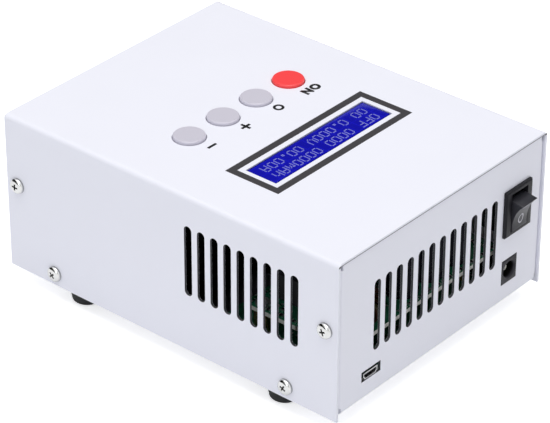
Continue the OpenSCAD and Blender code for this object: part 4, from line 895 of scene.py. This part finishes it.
def switch_rocker(bevel):
    """Rocker before its tilt, with its pivot at the origin."""
    half = 5.4
    face = 4.8
    rocker = block("rocker_moulding", (-4.4, -3.4, -half), (4.4, face, half), MM)
    for y in (-1.6 * MM, 0.0):
        choose(rocker)
        bpy.ops.mesh.bisect(plane_co=(0.0, y, 0.0), plane_no=(0.0, 1.0, 0.0))
    tip = 6.3
    for y, height in ((face, tip), (-1.6, 5.0), (-3.4, 1.6)):
        choose(rocker, lambda place, normal: abs(place.y - y * MM) < 1e-5, "VERT")
        stretch(1.0, 1.0, height / half)
    # Hollow of the face, cut across and pushed in line by line along an arc
    radius = 13.98 * MM
    rim = sqrt(radius ** 2 - (tip * MM) ** 2)
    lines = [step * 0.7 * MM for step in range(-8, 9)]
    for z in lines:
        choose(rocker, lambda middle, normal: middle.y > 0.0)
        bpy.ops.mesh.bisect(plane_co=(0.0, 0.0, z), plane_no=(0.0, 0.0, 1.0))
    for z in lines:
        choose(rocker, lambda place, normal: place.y > 4.7 * MM and abs(place.z - z) < 1e-6, "VERT")
        shift(0.0, rim - sqrt(radius ** 2 - z ** 2), 0.0)
    soften(rocker, bevel, 3, 30.0)
    pins = rod("pivot_pins", 32, 1.2 * MM, 11.2 * MM, rotation=(0.0, pi / 2, 0.0))
    rocker = merge([rocker, pins], "rocker_moulding")
    shade(rocker, 30)
    return rocker


def rocker_marks(rocker):
    """Off ring and on bar, pressed on the rocker's hollow face."""
    ring = begin(bpy.ops.mesh.primitive_circle_add, "rocker_ring", vertices=40, radius=1.0 * MM,
                 fill_type="NGON")
    hollow(settle(ring, (1.5, 2.0, 1.0)), 0.46 * MM)
    bar = begin(bpy.ops.mesh.primitive_grid_add, "rocker_bar", x_subdivisions=8, y_subdivisions=2, size=1.0)
    settle(bar, (3.0 * MM, 0.55 * MM, 1.0))
    for mark, x, z in ((ring, -0.4 * MM, -2.7 * MM), (bar, 0.0, 3.3 * MM)):
        mark.data.transform(moved_to(x, 5.0 * MM, z) @ turned_by(-90, "X"))
        apply_modifier(mark, "SHRINKWRAP", "Press on", target=rocker, wrap_method="PROJECT",
                       use_project_y=True, use_negative_direction=True, use_positive_direction=True,
                       offset=0.015 * MM)
        apply_modifier(mark, "SOLIDIFY", "Ink", thickness=0.03 * MM, offset=0.0)
        shade(mark, 40)
    return ring, bar


class TESTER_OT_switch(bpy.types.Operator):
    """Models the rocker switch with its stepped bezel, its body and its marked rocker"""
    bl_idname = "tester.switch"
    bl_label = "Rocker switch"

    def execute(self, context):
        sizes = context.scene.tester_sizes
        low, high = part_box("switch_body")
        middle = (low + high) / 2
        body = switch_body(sizes.bezel_bevel)
        body.data.transform(moved_to(middle.x, PANEL, middle.z))
        finish_piece(body, "case", "Switch moulding", ("switch_body",))
        pivot = moved_to(middle.x, high.y - 2.0 * MM, middle.z) @ turned_by(-19.5, "X")
        rocker = switch_rocker(sizes.rocker_bevel)
        marks = rocker_marks(rocker)
        rocker.data.transform(pivot)
        finish_piece(rocker, "rocker", "Rocker moulding", ("switch_rocker",))
        grained("Mark ink", context.scene.tester_colours.mark, 0.5)
        for mark in marks:
            mark.data.transform(pivot)
            finish_piece(mark, "rocker", "Mark ink")
        return {"FINISHED"}


class TESTER_OT_inlet(bpy.types.Operator):
    """Models the power inlet's moulding with its rounded hole"""
    bl_idname = "tester.inlet"
    bl_label = "Power inlet"

    def execute(self, context):
        low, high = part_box("power_inlet")
        middle = (low + high) / 2
        inlet = block("inlet_moulding", low, high)
        choose(inlet, lambda middle, along: abs(along.y) > 0.9, "EDGE")
        bpy.ops.mesh.bevel(offset=0.35 * MM, segments=3)
        for name, inner, outer, deep in (("hole", 3.15, 3.15, 9.5), ("mouth", 3.15, 3.6, 0.45)):
            cutter = begin(bpy.ops.mesh.primitive_cone_add, name, vertices=72, radius1=outer * MM,
                           radius2=inner * MM, depth=deep * MM, rotation=(pi / 2, 0.0, 0.0),
                           location=(middle.x, high.y - deep / 2 * MM, middle.z))
            choose(settle(cutter), facing(1))
            push(0.0, 1.0 * MM, 0.0)
            cut_away(inlet, cutter, "Socket " + name)
        soften(inlet, 0.1 * MM)
        finish_piece(inlet, "case", "Inlet moulding", ("power_inlet",))
        return {"FINISHED"}


class TESTER_OT_battery_socket(bpy.types.Operator):
    """Turns the battery socket's threaded shell and cuts its key slot"""
    bl_idname = "tester.battery_socket"
    bl_label = "Battery socket"

    def execute(self, context):
        low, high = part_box("battery_socket")
        middle = (low + high) / 2
        pitch = context.scene.tester_sizes.thread_pitch
        proud = TRAY_LOW.y - low.y
        crest, root, flange = 8.0 * MM, 7.5 * MM, 9.5 * MM
        radius, height = 7.2 * MM, -2.6 * MM
        shell = rod("battery_socket_shell", 96, radius, 8.4 * MM, -6.8 * MM)
        thread = 2.8 * MM
        rings = [(flange, height), (flange, -SHEET), (7.6 * MM, -SHEET), (7.6 * MM, thread), (root, thread)]
        while thread + pitch < proud - 0.3 * MM:
            rings += [(crest, thread + 0.38 * pitch), (crest, thread + 0.5 * pitch),
                      (root, thread + 0.88 * pitch), (root, thread + pitch)]
            thread += pitch
        rings += [(root, proud - 0.25 * MM), (root - 0.25 * MM, proud)]
        # The shell grows from its upper face, ring by ring
        choose(shell, facing(2))
        for next_radius, next_height in rings:
            bpy.ops.mesh.extrude_region_move()
            stretch(next_radius / radius, next_radius / radius, 1.0)
            shift(0.0, 0.0, next_height - height)
            radius, height = next_radius, next_height
        cut_away(shell, rod("bore", 96, 6.0 * MM, 40.0 * MM), "Bore")
        key = block("key", (-1.0 * MM, 5.4 * MM, proud - 4.0 * MM), (1.0 * MM, 6.8 * MM, proud + 1.0 * MM))
        cut_away(shell, key, "Key slot")
        shade(shell, 30)
        shell.data.transform(moved_to(middle.x, TRAY_LOW.y, middle.z) @ turned_by(90, "X"))
        finish_piece(shell, "case", "Nickel", ("battery_socket",))
        return {"FINISHED"}


class TESTER_OT_feet(bpy.types.Operator):
    """Moulds the four rubber feet with their rounded rims and screw recesses"""
    bl_idname = "tester.feet"
    bl_label = "Rubber feet"

    def execute(self, context):
        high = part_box("rubber_feet")[1]
        top, bottom = 7.0 * MM, 5.5 * MM
        foot = rod("foot", 64, top, high.z, high.z / 2)
        choose(foot, facing(2, -1))
        stretch(bottom / top, bottom / top, 1.0)
        choose(foot, lambda middle, along: middle.z < 1e-5 and abs(along.z) < 0.1, "EDGE")
        bpy.ops.mesh.bevel(offset=0.9 * MM, segments=5)
        for name, radius, reach in (("recess", 3.6, 3.2), ("bore", 1.7, 12.0)):
            cutter = begin(bpy.ops.mesh.primitive_cylinder_add, name, vertices=48, radius=radius * MM,
                           depth=(reach + 1.0) * MM, location=(0.0, 0.0, (reach - 1.0) / 2 * MM))
            cut_away(foot, cutter, "Screw " + name)
        shade(foot, 40)
        places = [moved_to(x, y, 0.0) for x, y in corners(high.x - top, high.y - top)]
        feet = spread(foot, "moulded_feet", places)
        finish_piece(feet, "case", "Foot rubber", ("rubber_feet",))
        return {"FINISHED"}


# Rows of chips on each board: first place and step in millimetres, count and turn in degrees
CHIP_ROWS = {
    "power_board": (
        (-35.0, 72.9, 3.2, 0.0, 17, 0.0), (-33.5, 62.5, 0.0, 2.6, 4, 90.0), (47.6, 35.0, 0.0, 2.9, 9, 90.0),
        (-7.0, 55.5, 3.0, 0.0, 8, 0.0), (-20.0, 33.0, 3.4, 0.0, 13, 0.0), (44.4, 33.5, 0.0, 2.8, 5, 0.0)),
    "control_board": (
        (-29.0, 74.2, 3.1, 0.0, 20, 90.0), (50.4, 22.0, 0.0, 2.6, 16, 0.0), (-50.4, 22.0, 0.0, 2.6, 16, 0.0),
        (-36.0, 16.2, 3.3, 0.0, 22, 0.0), (-40.0, 40.0, 3.0, 0.0, 5, 90.0), (18.0, 66.0, 3.0, 0.0, 7, 90.0)),
}


class TESTER_OT_board_parts(bpy.types.Operator):
    """Solders rows of chip resistors and chip capacitors on the boards"""
    bl_idname = "tester.board_parts"
    bl_label = "Small board parts"

    def execute(self, context):
        places = []
        for board, rows in CHIP_ROWS.items():
            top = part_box(board)[1].z
            for x, y, step_x, step_y, count, turn in rows:
                for index in range(count):
                    place = moved_to((x + index * step_x) * MM, (y + index * step_y) * MM, top)
                    places.append(place @ turned_by(turn, "Z"))
        body = block("chip_body", (-0.6, -0.62, 0.02), (0.6, 0.62, 0.5), MM)
        ends = merge([block("chip_end", (x, -0.64, 0.0), (x + 0.45, 0.64, 0.54), MM) for x in (-1.0, 0.55)],
                     "chip_end")
        finish_piece(spread(body, "chip_bodies", places), "case", "Chip resin")
        finish_piece(spread(ends, "chip_ends", places), "case", "Tinned metal")
        return {"FINISHED"}


# Directions of the studio's dark panels, with their inner and outer half angles in degrees
DARK_PANELS = (((-0.66, -0.54, 0.51), 24.0, 44.0), ((0.83, -0.45, 0.32), 13.0, 16.0),
               ((0.62, -0.68, 0.38), 19.0, 22.0), ((0.36, -0.86, 0.36), 20.0, 23.0),
               ((-0.02, -0.97, 0.25), 18.0, 22.0), ((0.95, -0.24, 0.17), 12.0, 15.0),
               ((0.68, 0.6, 0.43), 11.0, 13.0))
# Name, place, target, size, power and colour of each lamp
LAMPS = (
    ("Top light", (0.1, 0.1, 1.6), (0.0, 0.0, 0.0), 1.6, 17.8, (1.0, 1.0, 0.99)),
    ("Side light", (1.3, 0.4, 0.75), (0.0, 0.0, 0.03), 1.0, 2.6, (0.88, 0.94, 1.0)),
    ("Rear light", (0.0, 1.6, 0.9), (0.0, 0.0, 0.03), 1.0, 0.4, (0.88, 0.94, 1.0)),
)
# Camera, with its turn in degrees and its focal length in millimetres
CAMERA_PLACE = (0.67716, 0.57341, 0.57856)
CAMERA_TURN = (58.4104, -0.1623, 130.3393)
CAMERA_LENS = 187.633
WHITE = (1.0, 1.0, 1.0, 1.0)


def studio_floor(colour):
    """Pale floor that keeps its shadows and shows white round them."""
    floor = settle(begin(bpy.ops.mesh.primitive_plane_add, "floor", size=8.0, location=(0.0, 0.0, -0.0001)))
    finish, tree, inputs = shader("Floor paint", Roughness=0.9, Specular_IOR_Level=0.1, Base_Color=colour,
                                  Emission_Color=WHITE)
    rays = add_node(tree, "ShaderNodeLightPath").outputs
    seen = calc(tree, "MAXIMUM", rays["Is Camera Ray"], rays["Is Glossy Ray"])
    seen = calc(tree, "MAXIMUM", seen, rays["Is Transmission Ray"])
    glow = calc(tree, "MULTIPLY_ADD", rays["Is Camera Ray"], 0.52, product(tree, seen, 0.1))
    tree.links.new(glow, inputs["Emission Strength"])
    floor.data.materials.append(finish)


def studio_world():
    """Even light, with dark panels that only reflections show."""
    world = bpy.data.worlds.new("Studio")
    world.use_nodes = True
    tree = world.node_tree
    rays = add_node(tree, "ShaderNodeLightPath").outputs
    way = spot(tree, "Generated")
    mirrored = 1.0
    for direction, inner, outer in DARK_PANELS:
        nearness = vector(tree, "DOT_PRODUCT", way, tuple(Vector(direction).normalized()))
        kept = ramp(tree, nearness, 1.0, 0.02, *(cos(radians(a)) for a in (outer, inner)))
        mirrored = product(tree, kept, mirrored)
    # Dimmer from behind the tester, and bluer from low down
    axes = split(tree, way)
    even = ramp(tree, axes["Y"], 0.5, 0.36, -0.2, 1.0)
    tint = blend(tree, ramp(tree, axes["Z"], 0.0, 1.0, 0.1, 0.9), (0.92, 0.955, 1.0, 1.0),
                 (1.0, 1.0, 0.985, 1.0))
    shown = blend(tree, rays["Is Glossy Ray"], vector(tree, "MULTIPLY", tint, even), mirrored)
    shown = blend(tree, rays["Is Camera Ray"], shown, WHITE)
    back = tree.nodes["Background"].inputs
    tree.links.new(shown, back["Color"])
    back["Strength"].default_value = 1.0
    return world


class TESTER_OT_stage(bpy.types.Operator):
    """Sets up the floor, the soft studio light and the camera"""
    bl_idname = "tester.stage"
    bl_label = "Stage"

    def execute(self, context):
        scene = context.scene
        studio_floor((*scene.tester_colours.floor, 1.0))
        scene.world = studio_world()
        for name, place, target, size, power, colour in LAMPS:
            lamp = begin(bpy.ops.object.light_add, name, type="AREA", location=place)
            lamp.data.shape = "DISK"
            lamp.data.size = size
            lamp.data.energy = power
            lamp.data.color = colour
            lamp.rotation_euler = (Vector(target) - Vector(place)).to_track_quat("-Z", "Y").to_euler()
        bpy.ops.object.camera_add(location=CAMERA_PLACE)
        camera = context.object
        camera.rotation_euler = [radians(angle) for angle in CAMERA_TURN]
        camera.data.sensor_width = 36.0
        camera.data.lens = CAMERA_LENS
        camera.data.clip_start = 0.01
        camera.data.clip_end = 20.0
        scene.camera = camera
        scene.view_settings.view_transform = "Standard"
        return {"FINISHED"}


STEPS = (TESTER_OT_finishes, TESTER_OT_display_print, TESTER_OT_display_pane, TESTER_OT_display_characters,
         TESTER_OT_screws, TESTER_OT_switch, TESTER_OT_inlet, TESTER_OT_battery_socket, TESTER_OT_feet,
         TESTER_OT_board_parts, TESTER_OT_stage)


class TESTER_PT_panel(bpy.types.Panel):
    """Lists the steps that dress the tester"""
    bl_label = "Battery capacity tester"
    bl_idname = "TESTER_PT_panel"
    bl_space_type = "VIEW_3D"
    bl_region_type = "UI"
    bl_category = "Tester"

    def draw(self, context):
        layout = self.layout
        for step in STEPS:
            layout.operator(step.bl_idname)
        for group in (context.scene.tester_colours, context.scene.tester_sizes):
            for key in group.__annotations__:
                layout.prop(group, key)


CLASSES = (TesterColours, TesterSizes, *STEPS, TESTER_PT_panel)


def register():
    for item in CLASSES:
        bpy.utils.register_class(item)
    bpy.types.Scene.tester_colours = bpy.props.PointerProperty(type=TesterColours)
    bpy.types.Scene.tester_sizes = bpy.props.PointerProperty(type=TesterSizes)


def unregister():
    del bpy.types.Scene.tester_sizes
    del bpy.types.Scene.tester_colours
    for item in reversed(CLASSES):
        bpy.utils.unregister_class(item)


def main():
    register()
    for step in STEPS:
        section, name = step.bl_idname.split(".")
        getattr(getattr(bpy.ops, section), name)()


if __name__ == "__main__":
    main()
